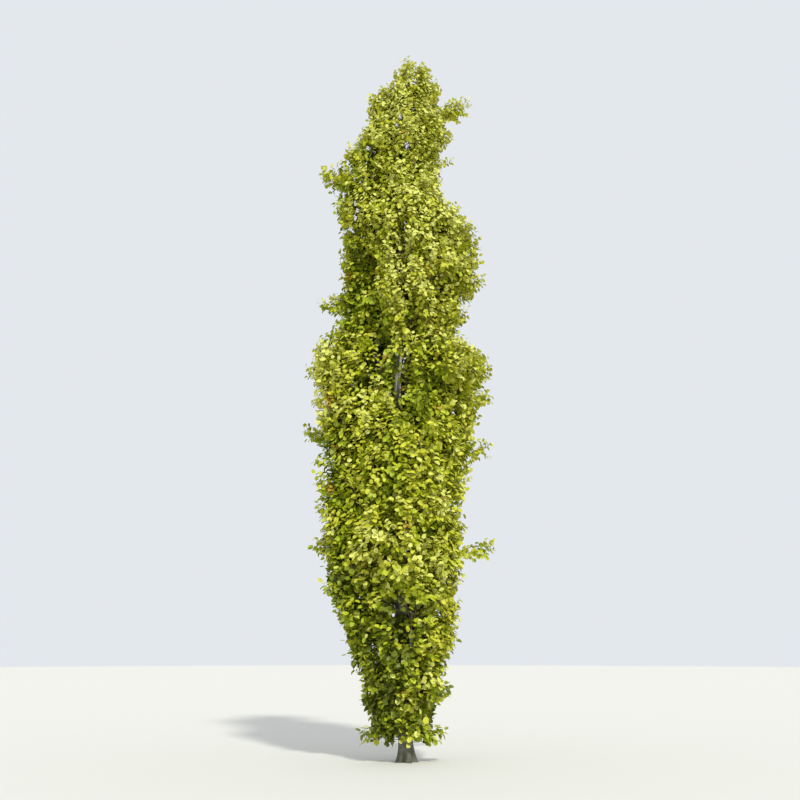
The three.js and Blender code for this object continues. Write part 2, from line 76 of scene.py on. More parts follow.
camera = bpy.data.objects.new("camera", bpy.data.cameras.new("camera"))
camera.data.lens = 50
camera.data.sensor_width = 36
camera.location = EYE
camera.rotation_euler = (math.pi / 2 + LENS_TILT, 0, 0)
bpy.context.collection.objects.link(camera)
bpy.context.scene.camera = camera
print("camera", round(EYE.length, 2), "m from the foot of the trunk")

# %% [markdown]
# ## Ground and light
# A pale floor takes the tree's shadow. The light is a broad soft key from the front right, high up, and a
# pale surround that fills the shade. A small hard sun would match a bright day better, but it would drop
# black holes between the leaves; a key of a few degrees across keeps each leaf's edge and softens its shadow.

# %% Lay the floor and hang the lights
KEY_TURN = math.radians(18)  # to the right of straight ahead
KEY_RISE = math.radians(46)
TOWARDS_KEY = np.array(
    [math.sin(KEY_TURN) * math.cos(KEY_RISE), -math.cos(KEY_TURN) * math.cos(KEY_RISE), math.sin(KEY_RISE)]
)

ground = bmesh.new()
bmesh.ops.create_circle(ground, cap_ends=True, segments=64, radius=60)
floor_mesh = bpy.data.meshes.new("floor")
ground.to_mesh(floor_mesh)
ground.free()
floor = bpy.data.objects.new("floor", floor_mesh)
bpy.context.collection.objects.link(floor)
floor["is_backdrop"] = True

key = bpy.data.objects.new("key", bpy.data.lights.new("key", "SUN"))
key.data.energy = 2.25
key.data.angle = math.radians(5)
key.data.color = (1.0, 0.985, 0.88)
key.rotation_euler = Vector(TOWARDS_KEY).to_track_quat("Z", "Y").to_euler()
bpy.context.collection.objects.link(key)
print("key light from", TOWARDS_KEY.round(2))

# %% [markdown]
# ## Nodes and colours
# A finish is a short chain of nodes, so one small function adds a node with its settings and its links.
# Colours are written as the hex values that a painter would pick on a screen, and one function turns them to
# the linear values that light is reckoned in.

# %% Helpers for materials
def linear(hex_colour):
    """An sRGB hex colour as linear red, green, blue and full alpha."""
    parts = [int(hex_colour[i : i + 2], 16) / 255 for i in (1, 3, 5)]
    return (*[p / 12.92 if p <= 0.04045 else ((p + 0.055) / 1.055) ** 2.4 for p in parts], 1.0)


def add_node(tree, kind, settings=None, links=None):
    """Adds a node, sets its sockets and properties by name, and links its inputs to other nodes' outputs."""
    node = tree.nodes.new("ShaderNode" + kind)
    for name, value in (settings or {}).items():
        if name in node.inputs:
            node.inputs[name].default_value = value
        else:
            setattr(node, name, value)
    for name, (other, output) in (links or {}).items():
        tree.links.new(other.outputs[output], node.inputs[name])
    return node


def start_material(name):
    """An empty material with an output, and its node tree."""
    material = bpy.data.materials.new(name)
    material.use_nodes = True
    material.node_tree.nodes.clear()
    return material, material.node_tree


def plain_finish(name, colour, roughness, specular=0.5):
    """A material of one base colour."""
    material, tree = start_material(name)
    settings = {"Base Color": linear(colour), "Roughness": roughness, "Specular IOR Level": specular}
    surface = add_node(tree, "BsdfPrincipled", settings)
    add_node(tree, "OutputMaterial", links={"Surface": (surface, "BSDF")})
    return material


floor_mesh.materials.append(plain_finish("pale_floor", "#D9D8D2", 0.9))
surround = bpy.data.worlds.new("surround")
surround.use_nodes = True
surround.node_tree.nodes["Background"].inputs["Color"].default_value = linear("#DFE3E8")
surround.node_tree.nodes["Background"].inputs["Strength"].default_value = 1.05
bpy.context.scene.world = surround
bpy.context.scene.view_settings.view_transform = "Standard"
print("floor and surround are pale")

# %% [markdown]
# ## Beech bark
# A young beech keeps a thin smooth bark, grey with a warm cast where it is lit. What gives it away is quiet:
# cloudy patches of pale lichen a hand wide, fine level wrinkles a few millimetres apart, and paler young bark
# higher up. So the colour comes from large soft noise, the wrinkles from noise that is stretched level by a
# Mapping node, and the paler bark from height alone; it is also painted light, which keeps the trunk bright
# where it shows halfway up. A dark tint near the ground, also set by height, is painted shade from the crown
# over the foot. Rough and dull: no gloss at all.

# %% Make the bark
PATCH = 1 / 0.09  # patches of lichen about 90 mm across
WRINKLES = (9.0, 9.0, 1 / 0.012)  # level wrinkles 110 mm long, drawn 12 mm apart so that they show
GREYS = {0.30: "#746F64", 0.46: "#98948C", 0.60: "#B4AFA4", 0.74: "#CFCCC0"}
DARKEST_GREY, LAST_GREY = "#5A564D", "#C8C6BA"
# Paler young bark, also painted light, then painted shade at the foot: colour, the heights between which it
# fades, and its share at each
BARK_AND_PAINTED_LIGHT_BY_HEIGHT = [("#E4E0D4", 3.6, 5.0, 0.0, 0.8), ("#3D402E", 0.05, 0.9, 0.8, 0.0)]
MIX_SHARE, MIX_A, MIX_B, MIX_RESULT = 0, 6, 7, 2  # a Mix node's sockets for colours


def beech_bark():
    """Patchy grey bark with level wrinkles, paler higher up and darker at the foot, partly as painted light and
    shade.
    """
    material, tree = start_material("beech_bark")
    place = add_node(tree, "TexCoord")
    clouds = {"Scale": PATCH, "Detail": 4.0, "Roughness": 0.62}
    patches = add_node(tree, "TexNoise", clouds, {"Vector": (place, "Object")})
    grey = add_node(tree, "ValToRGB", links={"Fac": (patches, "Fac")})
    stops = grey.color_ramp.elements
    for position, colour in GREYS.items():
        stops.new(position).color = linear(colour)
    for end, colour in ((0, DARKEST_GREY), (-1, LAST_GREY)):
        stops[end].color = linear(colour)
    height = add_node(tree, "SeparateXYZ", links={"Vector": (place, "Object")})
    bark_colour = grey, "Color"
    # Paler young bark higher up, also painted light, and painted shade at the foot, each mixed in by height
    for shade, low, high, low_share, high_share in BARK_AND_PAINTED_LIGHT_BY_HEIGHT:
        between_heights = {"From Min": low, "From Max": high, "To Min": low_share, "To Max": high_share}
        fade = add_node(tree, "MapRange", between_heights, {"Value": (height, "Z")})
        mix = add_node(tree, "Mix", {"data_type": "RGBA", "blend_type": "MIX"})
        mix.inputs[MIX_B].default_value = linear(shade)
        tree.links.new(fade.outputs["Result"], mix.inputs[MIX_SHARE])
        tree.links.new(bark_colour[0].outputs[bark_colour[1]], mix.inputs[MIX_A])
        bark_colour = mix, MIX_RESULT
    level = add_node(tree, "Mapping", {"Scale": WRINKLES}, {"Vector": (place, "Object")})
    fine = {"Scale": 1.0, "Detail": 3.0, "Roughness": 0.6}
    wrinkles = add_node(tree, "TexNoise", fine, {"Vector": (level, "Vector")})
    relief = add_node(tree, "Bump", {"Strength": 0.5, "Distance": 0.004}, {"Height": (wrinkles, "Fac")})
    surface = add_node(
        tree,
        "BsdfPrincipled",
        {"Roughness": 0.85, "Specular IOR Level": 0.3},
        {"Base Color": bark_colour, "Normal": (relief, "Normal")},
    )
    add_node(tree, "OutputMaterial", links={"Surface": (surface, "BSDF")})
    return material


bark = beech_bark()
print("bark has", len(bark.node_tree.nodes), "nodes")

# %% [markdown]
# ## Leaf and twig finishes
# A young beech leaf is thin and a little glossy, pale gold where the sun has bleached it and lime to mid
# green in the shade of the others; a few late ones are still bronze. A pattern would be lost on thousands of
# small leaves, so there are plain finishes from deep green to pale gold, and each spray is later given one of
# them by the light that reaches it: partly the leaf's own colour, and partly painted light and painted shade
# on top of what the lamps give. Young twigs are olive brown and smooth.

# %% Make the leaf and twig finishes
LEAF_TINTS = {
    "leaf_deep_green": "#6A7518",
    "leaf_mid_green": "#899520",
    "leaf_lime": "#A4B320",
    "leaf_yellow_green": "#BAC32C",
    "leaf_gold": "#C9CA3C",
    "leaf_pale_gold": "#D5D768",
    "leaf_bronze": "#C29C3A",
}
leaf_finishes = [plain_finish(name, colour, 0.45, 0.35) for name, colour in LEAF_TINTS.items()]
BRONZE = len(leaf_finishes) - 1
twig_finish = plain_finish("young_twig", "#6B6140", 0.7, 0.3)
print("leaf finishes:", ", ".join(LEAF_TINTS))

# %% [markdown]
# ## The trunk's line
# The trunk rises in one piece from a flat cut at the ground to just under the tip of the crown. It bows a
# little to the left on its way up, tapers nearly evenly, and spreads at the foot into low toes where the
# roots start. Two small functions say where its middle is and how thick it is, and everything that touches
# the trunk asks them, so that boughs and bark can't part.

# %% Sizes of the trunk
UP = np.array([0.0, 0.0, 1.0])
TREE_HEIGHT = 10.5
TRUNK_TOP = 9.95
TRUNK_RADIUS, TRUNK_TIP_RADIUS, TRUNK_TAPER = 0.092, 0.011, 0.86  # a power below 1 keeps the middle thick
TRUNK_LEAN, TRUNK_DRIFT, TRUNK_SWAY = -0.105, -0.030, 0.022  # the bow, the tip's place, and the sway in depth
FLARE_WIDTH, FLARE_HEIGHT, FLARE_TOES, TOE_DEPTH = 0.046, 0.170, 5, 0.3


def between(pair, share):
    """The value at a share of the way from the first of a pair to the second."""
    return pair[0] + (pair[1] - pair[0]) * share


def trunk_at(height):
    """The middle of the trunk at one height or at many."""
    share = np.asarray(height, float) / TRUNK_TOP
    bow = np.sin(np.pi * np.minimum(share, 1))
    sway = np.sin(2 * np.pi * share)
    return np.stack([TRUNK_LEAN * bow + TRUNK_DRIFT * share, TRUNK_SWAY * sway, share * TRUNK_TOP], axis=-1)


def trunk_radius_at(height):
    """How thick the trunk is at a height, without its flare."""
    taper = np.maximum(1 - np.asarray(height, float) / TRUNK_TOP, 0) ** TRUNK_TAPER
    return between((TRUNK_TIP_RADIUS, TRUNK_RADIUS), taper)


print("trunk is", round(2000 * float(trunk_radius_at(0.5))), "mm thick at half a metre")

# %% [markdown]
# ## The crown's spaces
# The crown isn't one lump. It is built of upright masses, each an egg that stands beside the trunk and keeps
# to its own space, so that dark clefts run between them. The solids were shaped by this rule, and the fine
# twigs must stay within the same reach, so the rule is written again here: the outline of the crown from the
# front, the height of each mass up each side, and a share-out of the room between neighbours.

# %% Sizes of the crown
# Height, reach to the left and reach to the right of the foot, in millimetres
OUTLINE = np.array([
    [200, 330, 190], [400, 600, 450], [600, 520, 360], [1000, 720, 520], [1500, 840, 730], [2000, 1030, 750],
    [2500, 1290, 810], [2950, 1350, 1220], [3450, 1260, 820], [4050, 1400, 1230], [4450, 1520, 1150],
    [4850, 1440, 960], [5300, 1400, 1260], [5650, 1390, 1300], [6000, 1310, 870], [6500, 1240, 920],
    [6900, 1010, 1070], [7500, 1040, 1060], [8050, 1180, 760], [8300, 1240, 560], [8650, 1340, 545],
    [8900, 1010, 560], [9250, 770, 730], [9550, 520, 700], [9760, 550, 960], [9950, 520, 640],
    [10150, 270, 530], [10350, 230, 420], [10500, 110, 90],
]) / 1000
# Each side's turn in degrees, and the heights of its masses
SIDES = {
    "right": (0, [0.73, 1.82, 3.2, 4.75, 6.45, 8.05, 9.4]),
    "back": (90, [1.3, 2.7, 4.2, 5.7, 7.2, 8.7]),
    "left": (180, [0.83, 2.13, 3.6, 5.05, 6.75, 8.3, 9.4]),
    "front": (270, [1.15, 2.45, 3.9, 6.45, 7.8, 9.05]),
}
LOBE_TILT = math.radians(9)  # how far a mass leans out
TURN_SCATTER = 14  # how many degrees a mass may stand aside from its side's turn
NEXT_SHARE, LOBE_FILL = 1.1, 0.72  # how much of the way to its nearer neighbour counts, and is filled
LOBE_SWELL, LOBE_DEPTH = 1.45, 0.07  # how much larger its egg is, and how much deeper than half its reach
# Its half breadth by its reach, and the limits that the ground and the tree's tip set to its half height
LOBE_BREADTH, LOBE_LOWEST, LOBE_HIGHEST = (0.8, 0.06), (0.92, 0.12), 0.98
TOP_ASIDE, TOP_MIDDLE, TOP_HALVES = 0.12, 9.96, (1.2, 0.46, 0.42)  # the mass that ends the crown
EVEN_STEPS = (0.754878, 0.569840)  # steps that spread numbers evenly and never line up
print("crown is", round(float(OUTLINE[:, 1:].sum(axis=1).max()), 2), "m wide at most")

# %% Lay out the masses
def reach_at(turn, height, rows=OUTLINE, depth=1.0):
    """How far the crown reaches from the foot's upright axis towards a turn, at a height."""
    left = np.interp(height, rows[:, 0], rows[:, 1])
    right = np.interp(height, rows[:, 0], rows[:, 2])
    sideways = np.where(np.cos(turn) < 0, left, right)
    deep = depth * (left + right) / 2
    return 1 / np.hypot(np.cos(turn) / sideways, np.sin(turn) / deep)


def first_number(seed):
    """The first seeded number from 0 to 1, the same as the one that turned the solid mass."""
    word = 2**32 - 1
    state = (seed + 0x6D2B79F5) & word
    mixed = ((state ^ (state >> 15)) * (state | 1)) & word
    mixed ^= (mixed + (((mixed ^ (mixed >> 7)) * (mixed | 61)) & word)) & word
    return ((mixed ^ (mixed >> 14)) & word) / 2**32


def upright_mass(side, index):
    """Name, middle, frame and half sizes of one mass: an egg that leans out from the trunk."""
    degrees, heights = SIDES[side]
    height = heights[index]
    below = heights[index - 1] if index else 2 * height - heights[1]
    above = heights[index + 1] if index + 1 < len(heights) else 2 * height - heights[index - 1]
    turn = math.radians(degrees + TURN_SCATTER * (first_number(degrees * 31 + index * 977 + 5) - 0.5) * 2)
    nearest = NEXT_SHARE * min(above - height, height - below)
    half_height = min(
        LOBE_FILL * min((above - below) / 2, nearest),
        LOBE_LOWEST[0] * height - LOBE_LOWEST[1],
        LOBE_HIGHEST * (TREE_HEIGHT - height),
    )
    reach = max(reach_at(turn, height + share * half_height) for share in (-0.5, -0.25, 0, 0.25, 0.5))
    half_depth = reach / 2 + LOBE_DEPTH
    level = np.array([math.cos(turn), math.sin(turn), 0.0])
    return {
        "name": f"{side}_{index + 1}",
        "middle": level * (reach - half_depth) + UP * height,
        "frame": [
            UP * math.cos(LOBE_TILT) + level * math.sin(LOBE_TILT),
            level * math.cos(LOBE_TILT) - UP * math.sin(LOBE_TILT),
            np.cross(UP, level),
        ],
        "half": [
            LOBE_SWELL * half_height,
            LOBE_SWELL * half_depth,
            LOBE_BREADTH[0] * reach + LOBE_BREADTH[1],
        ],
    }


masses = [upright_mass(side, index) for side in SIDES for index in range(len(SIDES[side][1]))]
masses.append({
    "name": "top",
    "middle": np.array([TOP_ASIDE, 0.0, TOP_MIDDLE]),
    "frame": [UP, np.array([1.0, 0, 0]), np.array([0, 1.0, 0])],
    "half": [TOP_HALVES[0] * (TREE_HEIGHT - TOP_MIDDLE), *TOP_HALVES[1:]],
})
MIDDLES = np.array([mass["middle"] for mass in masses])
FRAMES = np.array([mass["frame"] for mass in masses])  # upwards, outwards, across
HALVES = np.array([mass["half"] for mass in masses])
print(len(masses), "masses, the deepest", round(2 * float(HALVES[:, 1].max()), 2), "m through")

# %% [markdown]
# ## Room to grow
# Every twig and leaf asks the same question: is there room here? A twig keeps to the space where its own
# mass's egg is deeper than any other, and twigs and leaves both keep inside the crown's skin. The skin
# follows the crown's dense edge and is pressed in by furrows along upright lines, because the real crown
# stands in flames with shaded clefts between them. A sculpted shell could hold the twigs as well, but the
# rows of a table can be changed one by one.

# %% The dense edge and its furrows
# The crown's dense edge, which its longest sprays stand out from: height, left and right, in millimetres
EDGE = np.array([
    [170, 400, 320], [370, 470, 370], [540, 480, 350], [730, 540, 400], [900, 600, 500], [1090, 670, 590],
    [1270, 750, 600], [1460, 780, 630], [1630, 820, 680], [1910, 950, 690], [2190, 1070, 720],
    [2560, 1190, 780], [3030, 1300, 790], [3310, 1270, 790], [3890, 1280, 890], [4180, 1290, 930],
    [4600, 1350, 910], [4890, 1310, 960], [5150, 1340, 970], [5370, 1420, 1180], [5530, 1430, 1290],
    [5650, 1390, 1280], [5800, 1330, 1130], [5940, 1300, 770], [6100, 1210, 780], [6300, 1120, 930],
    [6500, 1160, 800], [6660, 1090, 850], [6850, 980, 1070], [7070, 1100, 990], [7270, 1110, 1020],
    [7400, 1110, 1020], [7620, 1130, 1040], [7800, 1180, 920], [7960, 1210, 770], [8080, 1180, 570],
    [8300, 1220, 540], [8500, 1180, 530], [8600, 1070, 510], [8760, 1040, 490], [8870, 1000, 540],
    [8990, 880, 570], [9100, 800, 670], [9330, 650, 700], [9450, 520, 680], [9570, 520, 550],
    [9700, 540, 530], [9800, 555, 560], [9920, 480, 620], [9980, 210, 600], [10160, 220, 510],
    [10300, 220, 380], [10420, 180, 320], [10500, 90, 130],
]) / 1000
EDGE_DEPTH = 0.91  # how deep the crown is from front to back, against its width
# Turn in degrees, height, half width in degrees, half height, and the change of the reach: minus is a furrow
FURROWS = [
    (243, 5.50, 10, 0.60, -0.38),
    (230, 6.30, 14, 0.65, -0.35),
    (220, 7.00, 12, 0.50, -0.32),
    (214, 5.10, 15, 0.65, 0.15),
    (272, 6.35, 22, 0.50, 0.16),
    (266, 5.25, 8, 0.45, -0.50),
    (287, 5.45, 14, 0.70, -0.30),
    (264, 7.10, 6, 0.45, -0.26),
    (249, 6.55, 9, 0.22, 0.16),
    (252, 5.85, 7, 0.25, -0.14),
    (300, 7.60, 6, 0.60, -0.20),
    (250, 8.60, 7, 0.50, -0.28),
    (256, 3.30, 6, 0.55, -0.20),
    (293, 2.70, 6, 0.60, -0.20),
    (272, 4.78, 6, 0.32, -0.28),
    (262, 1.65, 9, 0.50, -0.28),
    (228, 1.60, 9, 0.60, -0.25),
]
# The side that can't be seen gets furrows and swellings like those in front
BACK_FURROWS, BACK_SWELLINGS = 17, 8
FURROWS += [
    (
        (37 * n) % 190 - 5,
        1.2 + (EVEN_STEPS[0] * n % 1) * 8.2,
        7 + 6 * (0.57 * n % 1),
        0.45 + 0.3 * (0.38 * n % 1),
        -0.32,
    )
    for n in range(1, BACK_FURROWS + 1)
]
FURROWS += [
    ((61 * n) % 180, 1.8 + (EVEN_STEPS[1] * n % 1) * 7.4, 17, 0.45, 0.13)
    for n in range(1, BACK_SWELLINGS + 1)
]
print(len(EDGE), "rows of the edge,", len(FURROWS), "furrows and swellings")

# %% [markdown]
# ## Gaps for the sky and the trunk
# The sky shows through small gaps in the upper crown, and the trunk through a window halfway up. Both are
# kept open along the lines of sight, and a slot along the key light's way keeps that stretch of trunk bright.
# Holes could be cut into the finished crown, but they would leave twigs and leaves cut off. A twig that is
# asked beforehand stops in time.

# %% Keep the gaps open
# The gap that shows the trunk, as the eye sees it: up to "lit" the key light reaches the trunk too
TRUNK_WINDOW = {"left": -0.148, "right": -0.098, "low": 4.93, "high": 5.50, "lit": 5.38}
LIT_LEFT, LIT_RIGHT = 0.10, 0.09  # how much wider the slot for the light is on either side
# Where the sky shows through, in millimetres: right of the foot, height, half of the gap's width and height
SKY_GAPS = np.array([
    [30, 9100, 45, 70], [-70, 8900, 40, 50], [-130, 9440, 35, 45], [-770, 8140, 35, 70], [-730, 8030, 40, 50],
    [-770, 7920, 32, 60], [-840, 7730, 40, 45], [-800, 7680, 30, 40], [-950, 8290, 28, 40],
    [-700, 8480, 25, 35], [-80, 9570, 35, 50], [120, 9700, 30, 35], [-570, 9050, 35, 50],
    [-480, 8970, 30, 50],
]) / 1000


def seen_at(points):
    """How far right and how high the eye sees each point, on the upright plane through the foot."""
    nearer = EYE[1] / (EYE[1] - points[:, 1])
    return EYE[0] + (points[:, 0] - EYE[0]) * nearer, EYE[2] + (points[:, 2] - EYE[2]) * nearer


def in_gap(points):
    """True for each point that would close a gap, seen from where the eye stands."""
    across, height = seen_at(points)
    aside = (across[:, None] - SKY_GAPS[:, 0]) / SKY_GAPS[:, 2]
    above = (height[:, None] - SKY_GAPS[:, 1]) / SKY_GAPS[:, 3]
    return (aside**2 + above**2 < 1).any(axis=1)


def hides_trunk(points):
    """True for each point that would hide the trunk in its window from the eye or from the key light."""
    window = TRUNK_WINDOW
    across, height = seen_at(points)
    seen = (across > window["left"]) & (across < window["right"])
    seen &= (height > window["low"]) & (height < window["high"])
    reach = points[:, 1] / TOWARDS_KEY[1]
    across, height = points[:, 0] - reach * TOWARDS_KEY[0], points[:, 2] - reach * TOWARDS_KEY[2]
    lit = (across > window["left"] - LIT_LEFT) & (across < window["right"] + LIT_RIGHT)
    lit &= (height > window["low"]) & (height < window["lit"])
    in_front = points[:, 1] < 0
    return (seen | lit) & in_front


print(len(SKY_GAPS), "gaps for the sky and a window for the trunk")

# %% [markdown]
# ## Tufts
# The leaves at the end of each branch stand together in a tuft, a lump half a metre or more across that is
# lit on top and dark underneath. So the skin is pressed in between tufts that widen upwards and end in a
# ledge. Plain noise would make lumps too, but round ones without dark undersides; a sum of waves that drives
# a slanting front gives the ledges.

# %% Shape the skin
TUFT_DEPTH, TUFT_WIDTH, TUFT_HEIGHT = 0.25, 0.75, 0.62
LEDGE_SHIFT, LEDGE_SHARE, VALLEY_WIDTH, VALLEY_SHARE = 1.3, 0.75, 0.45, 0.5
TOP_TUFTS = ((8.8, 9.7), (1, 0.6))  # heights, and how large the tufts are there: smaller in the narrow top
FULLER = 0.10  # how far the tufts stand out from the edge, so that their middle height lies on it
WAVES, WAVE_RISE = 14, 0.35  # the waves that place the tufts, and how slowly they change upwards
dice = np.random.default_rng(7)
wave_aims = dice.normal(size=(3, WAVES))
wave_aims /= np.linalg.norm(wave_aims, axis=0)
TUFT_WAVES = wave_aims * (2 * np.pi / TUFT_WIDTH) * [[1], [1], [WAVE_RISE]]
TUFT_PHASES = dice.uniform(0, 2 * np.pi, WAVES)


def changed_by(rows, turn, height, values):
    """The values with each row's change added round its place, fading out with distance."""
    for degrees, middle, width, half_height, change in rows:
        aside = (np.degrees(turn) - degrees + 180) % 360 - 180
        values = values + change * np.exp(-((aside / width) ** 2) - ((height - middle) / half_height) ** 2)
    return values


def tuft_size(height):
    """How large the tufts are at a height, against those low down."""
    return np.interp(height, *TOP_TUFTS)


def tuft_dent(points):
    """How far the skin is pressed in at each point, between tufts that widen upwards and end in a ledge."""
    waves = np.sin(points @ TUFT_WAVES + TUFT_PHASES).sum(axis=1) / math.sqrt(len(TUFT_PHASES))
    below_ledge = (points[:, 2] / TUFT_HEIGHT + LEDGE_SHIFT * waves) % 1
    valley = np.clip(1 - np.abs(waves) / VALLEY_WIDTH, 0, 1)
    dent = np.clip(LEDGE_SHARE * (1 - below_ledge) + VALLEY_SHARE * valley, 0, 1)
    return TUFT_DEPTH * tuft_size(points[:, 2]) * dent


def skin_gap(points):
    """How far each point lies inside the crown's skin, in metres, and less than nothing outside it."""
    x, y, z = points.T
    turn = np.arctan2(y, x)
    full_reach = reach_at(turn, z, EDGE, EDGE_DEPTH) + FULLER * tuft_size(z)
    reach = full_reach * changed_by(FURROWS, turn, z, np.ones_like(z))
    return reach - tuft_dent(points) - np.hypot(x, y)


on_axis = UP * np.arange(1.0, 10.0)[:, None]
print("skin lies", skin_gap(on_axis).round(2), "m to the right, metre by metre")

# %% [markdown]
# ## Is there room?
# A point has room where it is inside the skin, clear of the gaps, and deeper in its own mass's egg than in
# any other. A loop over all leaves would take minutes; asking for all points at once with arrays takes a
# moment.

# %% Ask for room
FURTHEST = 1.6  # how far out in a mass's own measure a twig may end; at 1 it would end with the egg
HEM_RISE, HEM_WAVES, HEM_TURN = 0.16, 2.5, 0.6  # the lower hem rises between its five lowest places


def depths(points):
    """How deep each point lies in each mass's egg: 0 in its middle, 1 on its skin."""
    total = np.zeros((len(points), len(masses)))
    for direction in range(3):
        along = points @ FRAMES[:, direction].T - np.einsum("mk,mk->m", MIDDLES, FRAMES[:, direction])
        total += (along / HALVES[:, direction]) ** 2
    return np.sqrt(total)


def in_crown(points, past=0.0, sprig=False):
    """True for each point inside the skin or a little past it. A sprig may stand out from the dense edge."""
    boxed = ((points > solids_low) & (points < solids_high)).all(axis=1)
    turn = np.arctan2(points[:, 1], points[:, 0])
    hem = EDGE[0, 0] + HEM_RISE * np.sin(HEM_WAVES * turn + HEM_TURN) ** 2
    inside = (skin_gap(points) > -past) & (points[:, 2] > hem)
    return (inside | sprig) & ~hides_trunk(points) & ~in_gap(points) & boxed


def has_room(points, owners, margin=0.0):
    """True for each point in the crown that lies deeper in its owner's space than in any other."""
    depth = depths(points)
    rows = np.arange(len(points))
    own = depth[rows, owners]
    depth[rows, owners] = np.inf
    return (depth.min(axis=1) > own + margin) & (own < FURTHEST) & in_crown(points)


def room_along(starts, directions, owners, margin=0.0, step=0.02, furthest=2.6):
    """How far each start can go in its direction before it leaves its owner's space."""
    room, free = np.zeros(len(starts)), np.ones(len(starts), bool)
    for distance in np.arange(step, furthest, step):
        free &= has_room(starts + directions * distance, owners, margin)
        room[free] = distance
        if not free.any():
            break
    return room


def unit(vectors):
    """The vectors at length 1."""
    return vectors / np.maximum(np.linalg.norm(vectors, axis=-1, keepdims=True), 1e-9)


def level_way(vectors):
    """The vectors laid level, at length 1."""
    return unit(vectors * (1, 1, 0))


EVERY = np.arange(len(masses))
print("room above the middles on the right:", room_along(MIDDLES, FRAMES[:, 0], EVERY).round(2)[:7])

# %% [markdown]
# ## The boughs' lines
# Most masses are carried by one bough each, which leaves the trunk steeply, swings out and turns upright
# again before it enters the mass: the habit that makes the tree a column. A curve with four control points
# draws exactly that: the first two set how it leaves the trunk and the last two how it arrives. The lowest
# masses and the top ones grow straight from the trunk.

# %% Plan the boughs and the stems
# A bough's thickness against the trunk's, its tip's radius, and how much more than that it has at its start
BOUGH_SHARE, BOUGH_TIP_RADIUS, BOUGH_THICKER = 0.5, 0.015, 0.004
# How far below its mass's foot a bough leaves the trunk, for each metre out and besides; the least height
BOUGH_RISE, BOUGH_DROP, LOWEST_BOUGH = 2.3, 0.15, 0.26
BOUGH_START = (0.62, 0.78)  # how much a bough sets off outwards and upwards
BOUGHS_FROM, BOUGHS_TO = 1.5, 9.0  # masses with their middles between these heights have a bough
# How far below the middle a stem starts, how much of the room above it fills, and its start without a bough
STEM_FOOT, STEM_TOP, LOW_STEM = 0.8, 0.72, 0.72
TOP_STEM_DROP = 0.02  # how far below the trunk's tip the topmost stem starts


def curve_at(controls, share):
    """Points of curves with four controls each, at shares of their length."""
    a, b, c, d = (controls[..., n, :] for n in range(4))
    t = np.asarray(share)[..., None]
    return a * (1 - t) ** 3 + 3 * b * t * (1 - t) ** 2 + 3 * c * t**2 * (1 - t) + d * t**3


room_below = room_along(MIDDLES, -FRAMES[:, 0], EVERY)
room_above = room_along(MIDDLES, FRAMES[:, 0], EVERY)
for number, mass in enumerate(masses):
    axis = FRAMES[number, 0]
    mass["top"] = mass["middle"] + axis * STEM_TOP * room_above[number]
    carried = BOUGHS_FROM < mass["middle"][2] < BOUGHS_TO
    if carried:
        foot = mass["middle"] - axis * min(STEM_FOOT * HALVES[number, 0], room_below[number])
        moved = math.hypot(*(foot - trunk_at(foot[2]))[:2])
        start = trunk_at(max(foot[2] - BOUGH_RISE * moved - BOUGH_DROP, LOWEST_BOUGH))
        third = np.linalg.norm(foot - start) / 3
        level = level_way(FRAMES[number, 1])
        leaving = start + level * BOUGH_START[0] * third + UP * BOUGH_START[1] * third
        mass["bough"] = np.array([start, leaving, foot - axis * third, foot])
        mass["thick"] = max(BOUGH_SHARE * float(trunk_radius_at(start[2])), BOUGH_TIP_RADIUS + BOUGH_THICKER)
        mass["foot"] = foot
    elif mass["name"] == "top":
        mass["foot"] = trunk_at(TRUNK_TOP - TOP_STEM_DROP)
    else:
        mass["foot"] = trunk_at(max(mass["middle"][2] - LOW_STEM * HALVES[number, 0], LOWEST_BOUGH))
carried_masses = [mass for mass in masses if "bough" in mass]
print(len(carried_masses), "boughs")

# %% [markdown]
# ## Trunk and boughs in bark
# The solids of the limbs have ten flat sides. Up close a beech trunk is round but never even: it swells under
# each bough, its toes run down into the ground, and the bark has shallow dents. One way is to displace a
# cylinder with a texture; here a flat grid is rolled up instead, because each of its points can then be
# placed by the same line and taper as the solid, with a few millimetres of relief from noise. The seam is
# merged and the ends are closed.

# %% Helpers for skins and pieces
LUMPS_ROUND = 1.7  # the radius of a limb, counted in lumps


def roll_skin(skin, sides, rings, place):
    """Adds a grid to a bmesh and rolls it into a tube: place(turn, share) says where each point goes."""
    grid = bmesh.ops.create_grid(skin, x_segments=sides, y_segments=rings, size=0.5)
    for corner in grid["verts"]:
        corner.co = place((corner.co.x + 0.5) * 2 * math.pi, corner.co.y + 0.5)


def make_piece(name, mesh, finishes, nodes):
    """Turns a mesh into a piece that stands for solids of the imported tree."""
    for finish in finishes:
        mesh.materials.append(finish)
    mesh.shade_smooth()
    piece = bpy.data.objects.new(name, mesh)
    bpy.context.collection.objects.link(piece)
    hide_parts(*nodes)
    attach(piece, "root")
    return piece


def finish_skin(name, skin, *nodes):
    """Merges a skin's seams, closes its ends and puts it in bark."""
    bmesh.ops.remove_doubles(skin, verts=skin.verts, dist=1e-6)
    bmesh.ops.holes_fill(skin, edges=[edge for edge in skin.edges if edge.is_boundary], sides=0)
    bmesh.ops.recalc_face_normals(skin, faces=skin.faces)
    mesh = bpy.data.meshes.new(name)
    skin.to_mesh(mesh)
    skin.free()
    make_piece(name, mesh, [bark], nodes)
    print(name, len(mesh.polygons), "faces")


def dent(turn, height, lumps, depth):
    """Noise round a limb: lumps to the metre along it, and a few round it."""
    across, ahead = math.cos(turn) * LUMPS_ROUND, math.sin(turn) * LUMPS_ROUND
    return depth * noise.noise(Vector((across, ahead, height * lumps)))


print("bark goes round", 1 + len(carried_masses), "limbs")

